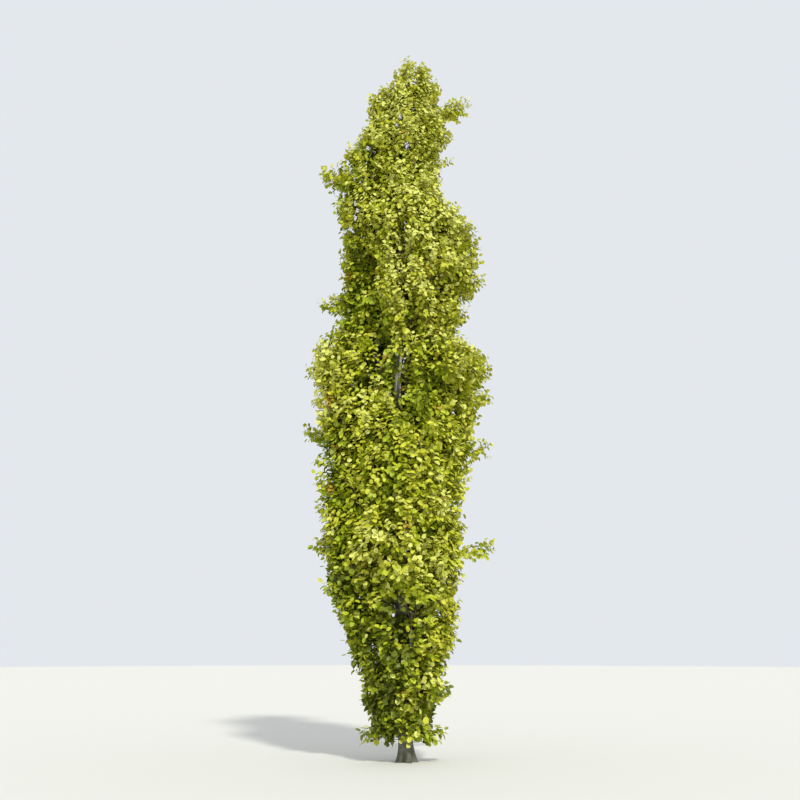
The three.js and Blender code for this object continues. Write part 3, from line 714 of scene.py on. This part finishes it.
# %% Roll the bark round the trunk
TRUNK_SIDES, TRUNK_RINGS = 48, 420
RINGS_LOW = 1.3  # above 1, the rings lie closer together near the ground, where the toes are
TRUNK_BROAD = (3.1, 0.05)  # lumps to the metre, and their depth as a share of the radius
TRUNK_FINE = (24, 0.0016)  # lumps to the metre, and their depth in metres


def trunk_point(turn, share):
    """A point on the trunk's bark."""
    height = TRUNK_TOP * share**RINGS_LOW
    flare = math.exp(-height / FLARE_HEIGHT)
    toes = 1 + TOE_DEPTH * flare * math.cos(FLARE_TOES * turn)
    radius = float(trunk_radius_at(height)) + FLARE_WIDTH * flare
    relief = dent(turn, height, TRUNK_BROAD[0], TRUNK_BROAD[1] * radius) + dent(turn * 3, height, *TRUNK_FINE)
    outwards = np.array([math.cos(turn), math.sin(turn), 0.0])
    return trunk_at(height) + outwards * (radius * toes + relief)


trunk_skin = bmesh.new()
roll_skin(trunk_skin, TRUNK_SIDES, TRUNK_RINGS, trunk_point)
finish_skin("trunk_bark", trunk_skin, "trunk")

# %% Roll the bark round the boughs
BOUGH_SIDES, BOUGH_RINGS = 12, 44
BOUGH_BROAD = (9, 0.07)  # lumps to the metre, and their depth as a share of the radius
COLLAR, COLLAR_LENGTH = 0.5, 0.12  # how much thicker a bough is where it leaves the trunk, and how far along

bough_skin = bmesh.new()
for mass in carried_masses:
    controls, across = mass["bough"], mass["frame"][2]
    length = np.linalg.norm(controls[3] - controls[0])

    def bough_point(turn, share):
        """A point on this bough's bark, with a collar where it leaves the trunk."""
        here, ahead = curve_at(controls, share), curve_at(controls, share + 0.01)
        along = unit(ahead - here)
        collar = 1 + COLLAR * math.exp(-share * length / COLLAR_LENGTH)
        radius = between((mass["thick"], BOUGH_TIP_RADIUS), share) * collar
        lumps, depth = BOUGH_BROAD
        radius += dent(turn, share * length + mass["middle"][2], lumps, depth * radius)
        return here + radius * (math.cos(turn) * across + math.sin(turn) * np.cross(along, across))

    roll_skin(bough_skin, BOUGH_SIDES, BOUGH_RINGS, bough_point)
finish_skin("bough_bark", bough_skin, *["bough_" + mass["name"] for mass in carried_masses])

# %% [markdown]
# ## Twigs by rule
# Inside each mass one stem goes on from the bough. Twigs leave it and aim at points spread evenly over the
# mass's skin by a sequence whose steps never line up, so that no two twigs crowd and no gap is left; chance
# alone would leave both. Each stops a little short of the edge of its space, and a larger skin gets more
# twigs. They sag slightly and turn up at the end, as the whole tree does.

# %% Grow stems and twigs
TWIG_SPREAD = math.radians(128)  # how far twigs aim to either side of straight out
TWIG_RISES = (-0.93, 0.97)  # from almost straight down to almost straight up
# Where on its stem a level twig starts and how much higher a rising one does, and the limits of both
TWIG_START, TWIG_START_RANGE = (0.38, 0.42), (0.03, 0.97)
TWIGS_PER_AREA, MOST_TWIGS, FEWEST_TWIGS = 21, 120, 36
SKIN_SHARE = 8.5  # the solid angle that the twigs cover, of 12.6 for all directions
STEP_SCATTER = 0.4  # how much chance moves a twig along its sequence
TWIG_ENDS = (0.76, 1.0)  # the shares of the room at which twigs end
TWIG_MARGIN, SHORTEST_TWIG = 0.012, 0.12
TWIG_BENDS = ((0.33, 0.02), (0.70, 0.10))  # shares of the way, and how far a twig has sagged there
random = np.random.default_rng(81)

steps = np.arange(MOST_TWIGS) + STEP_SCATTER * random.random((len(masses), MOST_TWIGS))
rise = between(TWIG_RISES, (0.5 + steps * EVEN_STEPS[0]) % 1)
spread = TWIG_SPREAD * (2 * ((0.5 + steps * EVEN_STEPS[1]) % 1) - 1)
level = np.sqrt(1 - rise**2)
skin = np.stack([rise, level * np.cos(spread), level * np.sin(spread)], axis=-1) * HALVES[:, None, :]
aims = unit(np.einsum("mtf,mfk->mtk", skin, FRAMES)).reshape(-1, 3)
owner = np.repeat(EVERY, MOST_TWIGS)
room = room_along(MIDDLES[owner], aims, owner, TWIG_MARGIN)
skin_area = SKIN_SHARE * (room.reshape(-1, MOST_TWIGS) ** 2).mean(axis=1)
wanted = np.clip(TWIGS_PER_AREA * skin_area, FEWEST_TWIGS, MOST_TWIGS)
kept = (np.tile(np.arange(MOST_TWIGS), len(masses)) < wanted[owner]) & (room > SHORTEST_TWIG)
owner, room, aims = owner[kept], room[kept], aims[kept]
ends = MIDDLES[owner] + aims * (room * between(TWIG_ENDS, random.random(len(owner))))[:, None]

feet = np.array([mass["foot"] for mass in masses])
tops = np.array([mass["top"] for mass in masses])
lift = (aims * FRAMES[owner, 0]).sum(axis=1)
start_share = np.clip(TWIG_START[0] + TWIG_START[1] * lift, *TWIG_START_RANGE)
starts = feet[owner] + (tops - feet)[owner] * start_share[:, None]


def twig_curves(starts, ends):
    """Each twig's length and its four controls: it sags a little on its way and turns up at the end."""
    spans = np.linalg.norm(ends - starts, axis=1, keepdims=True)
    bends = [starts + (ends - starts) * part - UP * spans * sag for part, sag in TWIG_BENDS]
    return spans, np.stack([starts, *bends, ends], axis=1)


spans, twig_lines = twig_curves(starts, ends)
print(len(owner), "twigs, on average", round(float(spans.mean()), 2), "m long")

# %% [markdown]
# ## Side twigs into what is still bare
# Twigs that part from one stem leave wide gaps at their far ends, most of all where a mass has no neighbour.
# A real tree fills them, because buds in the light grow and buds in the shade don't. So points are tried all
# over the crown's outer layer, and each that has no twig near it gets a side twig, which leaves the nearest
# wood that lies lower and further in. More twigs from the start would choke the middle instead. The sprigs
# that break the outline grow in the same way: some at the sides, where they show from the front, and about as
# many at the front and the back.

# %% Look for bare places
TRIES, BARE_GAP = 14000, 0.16  # a place is bare where no twig is nearer than the gap
TRY_HEIGHTS = (0.20, 10.3)
LAYER = (0.05, 0.42)  # the layer under the skin in which gaps are looked for
TRY_STEPS = (0.8191725, 0.6710436, 0.5497005)  # steps that spread points evenly through a block


def samples_along(lines, shares):
    """Points at the same shares of many curves, and the number of each point's curve."""
    points = np.concatenate([curve_at(lines, np.full(len(lines), part)) for part in shares])
    return points, np.tile(np.arange(len(lines)), len(shares))


def finder_of(points):
    """A search tree that finds the nearest of many points quickly."""
    finder = kdtree.KDTree(len(points))
    for number, point in enumerate(points):
        finder.insert(point, number)
    finder.balance()
    return finder


def skin_points(turn, height, past):
    """Points that lie past the dense edge by a distance, or inside it where that is less than nothing."""
    reach = reach_at(turn, height, EDGE, EDGE_DEPTH) + FULLER
    reach = reach * changed_by(FURROWS, turn, height, np.ones_like(height))
    level = np.stack([np.cos(turn), np.sin(turn), np.zeros(len(turn))], axis=1)
    return level * np.maximum(reach + past, 0.05)[:, None] + UP * height[:, None]


numbers = np.arange(TRIES)
try_turn = 2 * math.pi * (numbers * TRY_STEPS[0] % 1)
try_height = between(TRY_HEIGHTS, numbers * TRY_STEPS[1] % 1)
tries = skin_points(try_turn, try_height, -between(LAYER, numbers * TRY_STEPS[2] % 1))
tries = tries[in_crown(tries)]

outer_points, _ = samples_along(twig_lines, (0.45, 0.6, 0.75, 0.9, 1.0))
near_twigs = finder_of(outer_points)
lonely = tries[[near_twigs.find(point)[2] > BARE_GAP for point in tries]]
filled = []
for point in lonely:
    if not filled or np.linalg.norm(np.array(filled) - point, axis=1).min() > BARE_GAP:
        filled.append(point)
filled = np.array(filled)
print(len(filled), "bare places among", len(tries), "points")

# %% Place the tips of the sprigs
# Distance to the right of the foot, height and fullness of the sprigs' tips that show from the front
SPRAY_TIPS = np.array([
    [-0.59, 0.37, 0.8], [0.47, 0.38, 0.8], [-1.29, 2.93, 0.8], [1.28, 2.96, 0.8], [-1.49, 4.63, 0.8],
    [1.18, 4.36, 0.8], [1.285, 5.15, 0.8], [-1.44, 5.50, 0.8], [-1.26, 6.53, 0.7], [-1.26, 8.66, 0.8],
    [-1.22, 8.48, 0.7], [0.72, 8.85, 0.4], [0.93, 9.77, 0.9], [0.87, 9.65, 1.0], [0.76, 9.70, 1.0],
    [-0.55, 9.80, 0.8], [-0.02, 10.495, 0.8],
])
MORE_SPRIGS, SPRIGS_PAST, MORE_FULLNESS = 18, 0.10, 0.8
SPRIG_HEIGHTS, SPRIG_STEP = (1.0, 9.4), 0.618034
SPRIG_TURNS = (45, 77, 90)  # the first turn in degrees, the step from one to the next, and their range
SPRIG_RISE = 0.45  # how steeply the sprigs rise
# How far in from its tip a sprig's wood is sought first, in which steps, and how far inside the skin at least
SOUGHT_FROM, SOUGHT_STEP, SOUGHT_INSIDE = 0.1, 0.02, 0.1

tips = np.stack([SPRAY_TIPS[:, 0], np.zeros(len(SPRAY_TIPS)), SPRAY_TIPS[:, 1]], axis=1)
# About as many again stand out, by turns at the back and the front
numbers = np.arange(MORE_SPRIGS)
first_turn, turn_step, turn_range = SPRIG_TURNS
sprig_turn = np.radians(first_turn + numbers * turn_step % turn_range) * np.where(numbers % 2, 1, -1)
sprig_height = between(SPRIG_HEIGHTS, numbers * SPRIG_STEP % 1)
tips = np.concatenate([tips, skin_points(sprig_turn, sprig_height, SPRIGS_PAST)])
inwards = -level_way(tips) - UP * SPRIG_RISE
tip_sought = tips + inwards * SOUGHT_FROM
while (outside := skin_gap(tip_sought) < SOUGHT_INSIDE).any():
    tip_sought[outside] += inwards[outside] * SOUGHT_STEP
print(len(tips), "sprigs")

# %% Grow the side twigs and the sprigs
SIDE_TWIG_DROP, SIDE_TWIG_IN = 0.22, 0.16  # how much lower and further in a side twig looks for its wood
SPRIG_SHORT = 0.05  # how far short of its tip a sprig ends

low_points, low_twig = samples_along(twig_lines, (0.1, 0.25, 0.4, 0.55, 0.7, 0.85))
wood_sought = filled - UP * SIDE_TWIG_DROP - level_way(filled) * SIDE_TWIG_IN
sought = np.concatenate([wood_sought, tip_sought])
filled = np.concatenate([filled, tips + inwards * SPRIG_SHORT])
near_low = finder_of(low_points)
holder = np.array([near_low.find(point)[1] for point in sought])
new_starts = low_points[holder]
starts, ends = np.concatenate([starts, new_starts]), np.concatenate([ends, filled])
owner = np.concatenate([owner, owner[low_twig[holder]]])
aims = np.concatenate([aims, unit(filled - new_starts)])
sprig = np.arange(len(owner)) >= len(owner) - len(tips)
sprig_fullness = [SPRAY_TIPS[:, 2], np.full(MORE_SPRIGS, MORE_FULLNESS)]
fullness = np.concatenate([np.ones(len(owner) - len(tips)), *sprig_fullness])
spans, twig_lines = twig_curves(starts, ends)
print(len(filled), "side twigs and sprigs,", len(owner), "twigs in all")

# %% [markdown]
# ## Twiglets and their leaves
# From the twigs grow twiglets a hand or two long, each turned by the golden angle from the last so that they
# fill the space round the twig. A twiglet carries its leaves in two rows, left and right, with one at its
# tip: the flat spray that is so typical of a beech. Each leaf lies across its twiglet, its face turned up,
# out and away from the middle of its tuft, and its tip hanging a little. Some twiglets stand out past the
# skin by up to a hand, so that the outline is soft, and one that is too long is tried again shorter. A leaf
# that touches a limb or sits too deep in the dark is left out, and a twig ends at its last leaf. A hair
# system would be quicker to set up, but its hairs don't fork or keep clear of a limb.

# %% Grow the twiglets
TWIGLET_STEP = 0.028  # from one twiglet to the next along a twig
TWIGLETS_FROM, SPRIG_LEAFY_FROM = 0.30, 0.1  # the share of a twig's and a sprig's length that is bare
TWIGLET_LENGTHS = (0.14, 0.26)
LONG_FIRST, LESS_ALONG = 1.1, 0.35  # twiglets get shorter towards their twig's tip
PAST_SKIN = (-0.06, 0.13)  # how far the tips of a twig's shoots and leaves may stand out from the skin
PAST_POWER = 1.4  # above 1, twigs that stand far out are rarer
GOLDEN_ANGLE = math.radians(137.508)
TWIGLET_WAY = (0.55, 0.8, 0.32, 0.2)  # along the twig, round it, up, and out with the twig
END_RISE = 0.25  # how much the last twiglet turns up from its twig
TURN_PER_TWIG = 1.3  # how much further round the first twiglet of each next twig stands
SHORTER = 0.6  # how long a twiglet is on its second try


def spread_out(counts):
    """For many parents with counts of children: each child's parent, and its number among that parent's."""
    parent = np.repeat(np.arange(len(counts)), counts)
    child = np.arange(len(parent)) - np.repeat(np.cumsum(counts) - counts, counts)
    return parent, child


leafy_from = np.where(sprig, SPRIG_LEAFY_FROM, TWIGLETS_FROM)
counts = np.maximum((spans[:, 0] * (1 - leafy_from) / TWIGLET_STEP).astype(int), 3)
parent, place = spread_out(counts)
share = leafy_from[parent] + (1 - leafy_from[parent]) * (place + 1) / counts[parent]
roots = curve_at(twig_lines[parent], share)
along = unit(roots - curve_at(twig_lines[parent], share - 0.03))
aside = unit(np.cross(along, UP + 0.01))
turn = place * GOLDEN_ANGLE + parent * TURN_PER_TWIG
round_it = np.cos(turn)[:, None] * aside + np.sin(turn)[:, None] * np.cross(along, aside)
at_end = (place == counts[parent] - 1)[:, None]
on, around, up, out = TWIGLET_WAY
heading = on * along + around * round_it + up * UP + out * aims[parent]
heading = unit(np.where(at_end, along + END_RISE * UP, heading))
length = between(TWIGLET_LENGTHS, random.random(len(parent))) * (LONG_FIRST - LESS_ALONG * share)
length *= fullness[parent]
may_pass = between(PAST_SKIN, random.random(len(owner)) ** PAST_POWER)[parent]
fits = in_crown(roots + heading * length[:, None], may_pass, sprig[parent])
length = np.where(fits, length, SHORTER * length)
fits |= in_crown(roots + heading * length[:, None], may_pass, sprig[parent])
parent, share, may_pass = parent[fits], share[fits], may_pass[fits]
roots, heading, length = roots[fits], heading[fits], length[fits]
twiglet_owner = owner[parent]
print(len(parent), "twiglets,", round(float(length.sum())), "m in all")

# %% Set the leaves along the twiglets
LEAF_LENGTH, LEAF_WIDTH = 0.088, 0.070
LEAF_SIZES = (0.78, 1.10)
LEAF_STEP, STEP_POWER = 0.030, 1.5  # from leaf to leaf, and how much closer together small leaves stand
MIDDLE_LARGER = (0.82, 0.18)  # the size of leaves at a twiglet's ends, and how much more it is in its middle
FACING = (0.50, 0.40, 0.55)  # how much a leaf faces up, out from the trunk, and away from its tuft's middle
TUFT_AT = 0.8  # the share of a twig's length that is the middle of its tuft
TILTS = (0.16, 0.20)  # how much chance tilts a whole spray, and each leaf
TIP_LEAF_HANG = 0.3  # how much the leaf at a twiglet's tip hangs
LEAF_WAY = (0.55, 0.8, 0.38)  # the way of the others: along the twiglet, to its side, and down
WAY_SCATTER = 0.16  # how much chance turns each leaf's way
# Heights, and how large the leaves are there
SIZE_BY_HEIGHT = np.array([[0.5, 1.16], [3.0, 1.04], [7.0, 0.89], [10.0, 0.82]])

leaf_scale = np.interp(roots[:, 2], *SIZE_BY_HEIGHT.T)
leaf_counts = np.maximum(np.round(length / (LEAF_STEP * leaf_scale**STEP_POWER)).astype(int), 2)
twiglet, leaf_place = spread_out(leaf_counts)
leaf_share = (leaf_place + 1) / leaf_counts[twiglet]
leaf_roots = roots[twiglet] + heading[twiglet] * (length[twiglet] * leaf_share)[:, None]
leaf_owner = twiglet_owner[twiglet]
from_axis = level_way(leaf_roots)
tuft_middles = curve_at(twig_lines[parent], np.full(len(parent), TUFT_AT))
from_tuft = unit(leaf_roots - tuft_middles[twiglet])
tilt = TILTS[0] * random.normal(size=(len(roots), 3))[twiglet]
tilt = tilt + TILTS[1] * random.normal(size=(len(twiglet), 3))
facing = unit(FACING[0] * UP + FACING[1] * from_axis + FACING[2] * from_tuft + tilt)
side = unit(np.cross(heading[twiglet], facing)) * np.where(leaf_place % 2, 1, -1)[:, None]
last = (leaf_place == leaf_counts[twiglet] - 1)[:, None]
ahead, sideways, down = LEAF_WAY
to_side = ahead * heading[twiglet] + sideways * side - down * UP
pointing = np.where(last, heading[twiglet] - TIP_LEAF_HANG * UP, to_side)
pointing = unit(pointing + WAY_SCATTER * random.normal(size=(len(twiglet), 3)))
broad = unit(np.cross(facing, pointing))
facing = np.cross(pointing, broad)
size = leaf_scale[twiglet] * between(LEAF_SIZES, random.random(len(twiglet)))
size *= MIDDLE_LARGER[0] + MIDDLE_LARGER[1] * np.sin(np.pi * leaf_share)
leaf_tips = leaf_roots + pointing * (size * LEAF_LENGTH)[:, None]
leaf_middles = (leaf_roots + leaf_tips) / 2
print(len(twiglet), "places for leaves")

# %% Keep the leaves that have room
LIMB_MARGIN, LEAF_MARGIN = 0.03, 0.03  # how clear of limbs a leaf is, and how far it may pass its twiglet
TRUNK_STEP, BOUGH_POINTS = 0.06, 24  # how closely the limbs are measured
BARE_DEPTH = 0.88  # deeper inside the skin than this it is too dark for leaves

limb_points, limb_radii = [], []
for height in np.arange(0.1, TRUNK_TOP, TRUNK_STEP):
    limb_points.append(trunk_at(height))
    limb_radii.append(float(trunk_radius_at(height)))
for mass in carried_masses:
    for part in np.linspace(0, 1, BOUGH_POINTS):
        limb_points.append(curve_at(mass["bough"], part))
        limb_radii.append(between((mass["thick"], BOUGH_TIP_RADIUS), part))
near_limbs = finder_of(limb_points)
clear = np.array([
    distance > limb_radii[nearest] + LIMB_MARGIN
    for _, nearest, distance in map(near_limbs.find, leaf_middles)
])
on_sprig, leaf_past = sprig[parent][twiglet], may_pass[twiglet] + LEAF_MARGIN
grown = in_crown(leaf_tips, leaf_past, on_sprig) & in_crown(leaf_middles, leaf_past, on_sprig) & clear
grown &= (skin_gap(leaf_middles) < BARE_DEPTH) | on_sprig
last_leaf = np.zeros(len(roots))
np.maximum.at(last_leaf, twiglet[grown], leaf_share[grown])
last_twiglet = np.zeros(len(owner))
np.maximum.at(last_twiglet, parent[last_leaf > 0], share[last_leaf > 0])
print(grown.sum(), "leaves of", len(grown))

# %% [markdown]
# ## Tints by the light that a spray gets
# Leaves at the skin of the crown on the sunny side bleach to gold, and those inside stay green. So each spray
# gets a score from how near the skin it is, how it lies to the key light, whether it sits on a tuft or
# between tufts, and chance, and the score picks the tint. The tints are partly the leaves' own colour and
# partly painted light and painted shade: paler towards the key light and on tuft tops, darker deep inside and
# in the hollows between tufts. Some places get painted light or painted shade on top of the rule, because
# whole boughs lean into the light or stand behind others, and near the ground bright and dark single leaves
# are painted sun flecks and shade. A painted image would look right from one side only; whole finishes dealt
# by a rule work from every side.

# %% Places with painted light or shade
# Painted light or painted shade on top of the rule: turn in degrees, height, half width, half height, change of
# the score
PAINTED_LIGHT_BY_PLACE = [
    (213, 5.30, 18, 0.75, 0.22),
    (270, 6.35, 24, 0.55, 0.10),
    (318, 5.45, 14, 0.50, 0.14),
    (316, 7.45, 16, 0.55, 0.10),
    (234, 2.55, 14, 0.32, 0.26),
    (196, 6.85, 30, 0.70, -0.14),
    (229, 6.45, 14, 0.60, -0.20),
    (250, 5.45, 7, 0.36, -0.42),
    (238, 5.95, 10, 0.26, -0.26),
    (289, 5.15, 16, 0.70, -0.34),
    (271, 4.80, 8, 0.30, -0.22),
    (262, 1.85, 26, 0.55, -0.36),
    (225, 1.50, 34, 0.90, -0.22),
    (270, 0.45, 300, 0.95, -0.20),
    (203, 4.00, 18, 0.55, -0.26),
    (202, 8.05, 22, 0.35, -0.18),
    (262, 3.95, 14, 0.42, -0.28),
    (210, 0.75, 24, 0.40, -0.18),
    (264, 1.25, 14, 0.25, -0.25),
    (192, 2.50, 16, 0.40, -0.24),
]
print(len(PAINTED_LIGHT_BY_PLACE), "places have more or less light")

# %% Deal the tints
TINT_STEPS = [0.30, 0.42, 0.54, 0.66, 0.80]
BRONZE_SHARE = 0.007
SHADE_DEPTH = 0.55  # how far inside the skin a spray has to be for full shade, in metres
# Paler near the skin, towards the key light, higher up and on tuft tops, darker in the hollows between tufts:
# partly the leaves' own colour, partly painted light and painted shade
NEAR_SKIN, IN_LIGHT, PAINTED_SHADE_IN_HOLLOW, PER_METRE, PAINTED_LIGHT_ON_TUFT = 0.60, 0.16, 0.22, 0.012, 0.14  # shares of the score
FIRST_SCORE, MIDDLE_HEIGHT = 0.155, 5
SKIN_TILT = 0.25  # how much the crown's skin faces up
# More chance near the ground, and more single leaves that stray below LOW_DOWN, paint sun flecks and shade
# among the low leaves
CHANCE, CHANCE_LOW_DOWN, CHANCE_GROWS_BELOW, CHANCE_GROWS_FOR = 0.07, 1.8, 1.8, 1.5
LOW_DOWN = 2.6  # the height below which more single leaves stray from their spray's tint, and further
STRAYS, LOW_STRAYS, LOW_STRAY_STEPS = 0.2, 0.35, 3


def spray_scores(points):
    """From 0 in the shade inside the crown to about 1 at the skin in the light, for tints that are partly
    painted light and shade.
    """
    outness = 1 - np.clip(skin_gap(points) / SHADE_DEPTH, 0, 1)
    lit = unit(points * (1, 1, 0) + SKIN_TILT * UP) @ TOWARDS_KEY
    # Painted shade in the hollows between tufts
    hollow = tuft_dent(points) / TUFT_DEPTH
    score = NEAR_SKIN * outness + IN_LIGHT * lit - PAINTED_SHADE_IN_HOLLOW * hollow
    score = score + PER_METRE * (points[:, 2] - MIDDLE_HEIGHT) + FIRST_SCORE
    return changed_by(PAINTED_LIGHT_BY_PLACE, np.arctan2(points[:, 1], points[:, 0]), points[:, 2], score)


spray_ends = roots + heading * length[:, None]
# Painted light on the tops of tufts
above_tuft = unit(spray_ends - tuft_middles) @ UP
below = np.clip(CHANCE_GROWS_BELOW - spray_ends[:, 2], 0, CHANCE_GROWS_FOR)
chance = CHANCE * (1 + CHANCE_LOW_DOWN * below) * random.normal(size=len(roots))
score = spray_scores(spray_ends) + PAINTED_LIGHT_ON_TUFT * above_tuft + chance
spray_tint = np.searchsorted(TINT_STEPS, score)
spray_tint[random.random(len(roots)) < BRONZE_SHARE] = BRONZE
low_down = leaf_roots[:, 2] < LOW_DOWN
stray = random.integers(-1, 2, len(twiglet))
stray *= random.random(len(twiglet)) < np.where(low_down, LOW_STRAYS, STRAYS)
stray *= np.where(low_down, LOW_STRAY_STEPS, 1)
leaf_tint = spray_tint[twiglet]
leaf_tint = np.where(leaf_tint < BRONZE, np.clip(leaf_tint + stray, 0, BRONZE - 1), BRONZE)
print("leaves of each tint:", np.bincount(leaf_tint[grown]))

# %% [markdown]
# ## One leaf, many times
# A beech leaf is a pointed oval, broadest a little below its middle, creased along its rib and with its edges
# lifted. A filled circle of six corners makes it: its middle becomes the rib, one corner the root and the
# opposite one the tip. Copies of it are laid out with arrays, each with its own size, crease and droop, and
# joined mass by mass.

# %% Shape the leaf
TIP_SIDE = 0.86  # how broad the leaf is towards its tip, against towards its root

leaf_form = bmesh.new()
bmesh.ops.create_circle(leaf_form, cap_ends=True, cap_tris=True, segments=6, radius=0.5)
leaf_form.verts.ensure_lookup_table()
corners = np.array([corner.co for corner in leaf_form.verts])
LEAF_FACES = np.array([[corner.index for corner in face.verts] for face in leaf_form.faces])
leaf_form.free()
LEAF_ALONG = corners[:, 1] + 0.5
LEAF_ASIDE = corners[:, 0] / abs(corners[:, 0]).max() / 2 * np.where(LEAF_ALONG > 0.5, TIP_SIDE, 1.0)
print("leaf of", len(LEAF_FACES), "faces and", len(corners), "corners")

# %% Lay out the leaves
CREASES, DROOPS = (0.10, 0.55), (-0.02, 0.30)
creases = random.uniform(*CREASES, len(twiglet))
droops = random.uniform(*DROOPS, len(twiglet))


def joined_leaves(chosen):
    """Corners and faces of the chosen leaves."""
    length = (size[chosen] * LEAF_LENGTH)[:, None]
    width = (size[chosen] * LEAF_WIDTH)[:, None]
    lifted = creases[chosen, None] * abs(LEAF_ASIDE) * width - droops[chosen, None] * LEAF_ALONG**2 * length
    points = (
        leaf_roots[chosen, None, :]
        + (LEAF_ALONG * length)[..., None] * pointing[chosen, None, :]
        + (LEAF_ASIDE * width)[..., None] * broad[chosen, None, :]
        + lifted[..., None] * facing[chosen, None, :]
    )
    faces = LEAF_FACES[None] + (np.arange(len(chosen)) * len(LEAF_ALONG))[:, None, None]
    return points.reshape(-1, 3), faces.reshape(-1, 3)


def array_mesh(name, points, faces, tints=None):
    """A mesh from arrays, with a finish number for each face."""
    mesh = bpy.data.meshes.new(name)
    mesh.from_pydata(points.tolist(), [], faces.tolist())
    if tints is not None:
        mesh.polygons.foreach_set("material_index", tints.astype(np.int32))
    mesh.update()
    return mesh


for number, mass in enumerate(masses):
    chosen = np.flatnonzero(grown & (leaf_owner == number))
    face_tints = np.repeat(leaf_tint[chosen], len(LEAF_FACES))
    mesh = array_mesh("leaves_" + mass["name"], *joined_leaves(chosen), face_tints)
    make_piece("leaves_" + mass["name"], mesh, leaf_finishes, ["foliage_" + mass["name"]])
print("leaves have", grown.sum() * len(LEAF_FACES), "faces")

# %% [markdown]
# ## The wood inside the leaves
# Stems, twigs and twiglets are tapering tubes with few sides, which end in a point. They are thin and mostly
# hidden, so three to five sides will do, but they have to be there: they show in the gaps and carry every
# leaf. Curves with a round bevel could make them, but there are over twenty thousand, so they are laid out
# with arrays, as the leaves are.

# %% Helpers for tubes
def tapering_tubes(lines, radii, sides):
    """Corners and faces of tubes along lines, each with a cap at its root and a point at its tip."""
    tubes, rings, _ = lines.shape
    along = unit(np.gradient(lines, axis=1))
    whole = unit(lines[:, -1] - lines[:, 0])
    aside = np.where(abs(whole[:, 2:]) < 0.9, UP, [1.0, 0.0, 0.0])[:, None, :]
    first = unit(np.cross(along, aside))
    second = np.cross(along, first)
    turns = 2 * np.pi * np.arange(sides) / sides
    first, second = first[:, :-1, None, :], second[:, :-1, None, :]
    circle = np.cos(turns)[:, None] * first + np.sin(turns)[:, None] * second
    round_points = lines[:, :-1, None, :] + circle * radii[:, :-1, None, None]
    points = np.concatenate([round_points.reshape(tubes, -1, 3), lines[:, -1:]], axis=1)
    faces = []
    for ring in range(rings - 2):
        for corner in range(sides):
            low, low_next = ring * sides + corner, ring * sides + (corner + 1) % sides
            faces += [(low, low_next, low_next + sides), (low, low_next + sides, low + sides)]
    last = (rings - 2) * sides
    faces += [(last + corner, last + (corner + 1) % sides, points.shape[1] - 1) for corner in range(sides)]
    faces += [(0, corner + 1, corner) for corner in range(1, sides - 1)]
    every = np.array(faces)[None] + (np.arange(tubes) * points.shape[1])[:, None, None]
    return points.reshape(-1, 3), every.reshape(-1, 3)


def even_lines(controls, rings, up_to):
    """Points at even steps along curves, up to a share of each."""
    return np.stack([curve_at(controls, up_to * part) for part in np.linspace(0, 1, rings)], axis=1)


_, tube_faces = tapering_tubes(twig_lines[:1, :3], np.ones((1, 3)), 3)
print("a twiglet's tube has", len(tube_faces), "faces")

# %% Lay out stems, twigs and twiglets
STEM_TIP, TWIG_TIP = 0.004, 0.35  # a stem's radius at its tip, and a twig's against its root
TWIG_PER_METRE, TWIG_THIN, TWIG_THICK = 0.008, 0.004, 0.0075
TWIGLET_RADII = [0.0024, 0.0018, 0.0]
TWIGLET_LIFT = 0.004  # how much a twiglet's tip bends up
WOOD_RINGS, STEM_SIDES, TWIG_SIDES, TWIGLET_SIDES = 6, 5, 4, 3

stem_parts = np.linspace(0, 1, WOOD_RINGS)
stem_lines = feet[:, None, :] + (tops - feet)[:, None, :] * stem_parts[:, None]
stem_radii = np.tile(between((BOUGH_TIP_RADIUS, STEM_TIP), stem_parts), (len(masses), 1))
fine_lines = even_lines(twig_lines, WOOD_RINGS, last_twiglet)
fine_radii = np.clip(spans * TWIG_PER_METRE, TWIG_THIN, TWIG_THICK) * between((1, TWIG_TIP), stem_parts)
twiglet_bend = heading * (length * last_leaf)[:, None]
twiglet_tips = roots + twiglet_bend + UP * TWIGLET_LIFT
twiglet_lines = np.stack([roots, roots + 0.5 * twiglet_bend, twiglet_tips], axis=1)
twiglet_radii = np.tile(TWIGLET_RADII, (len(roots), 1))
wood = [
    (stem_lines, stem_radii, STEM_SIDES, EVERY),
    (fine_lines, fine_radii, TWIG_SIDES, np.where(last_twiglet > 0, owner, -1)),
    (twiglet_lines, twiglet_radii, TWIGLET_SIDES, np.where(last_leaf > 0, twiglet_owner, -1)),
]
wood_faces = 0
for number, mass in enumerate(masses):
    points, faces, so_far = [], [], 0
    for lines, radii, sides, owners in wood:
        chosen = owners == number
        tube_points, tube_faces = tapering_tubes(lines[chosen], radii[chosen], sides)
        points.append(tube_points)
        faces.append(tube_faces + so_far)
        so_far += len(tube_points)
    mesh = array_mesh("twigs_" + mass["name"], np.concatenate(points), np.concatenate(faces))
    make_piece("twigs_" + mass["name"], mesh, [twig_finish], ["foliage_" + mass["name"]])
    wood_faces += len(mesh.polygons)
print("stems, twigs and twiglets have", wood_faces, "faces")
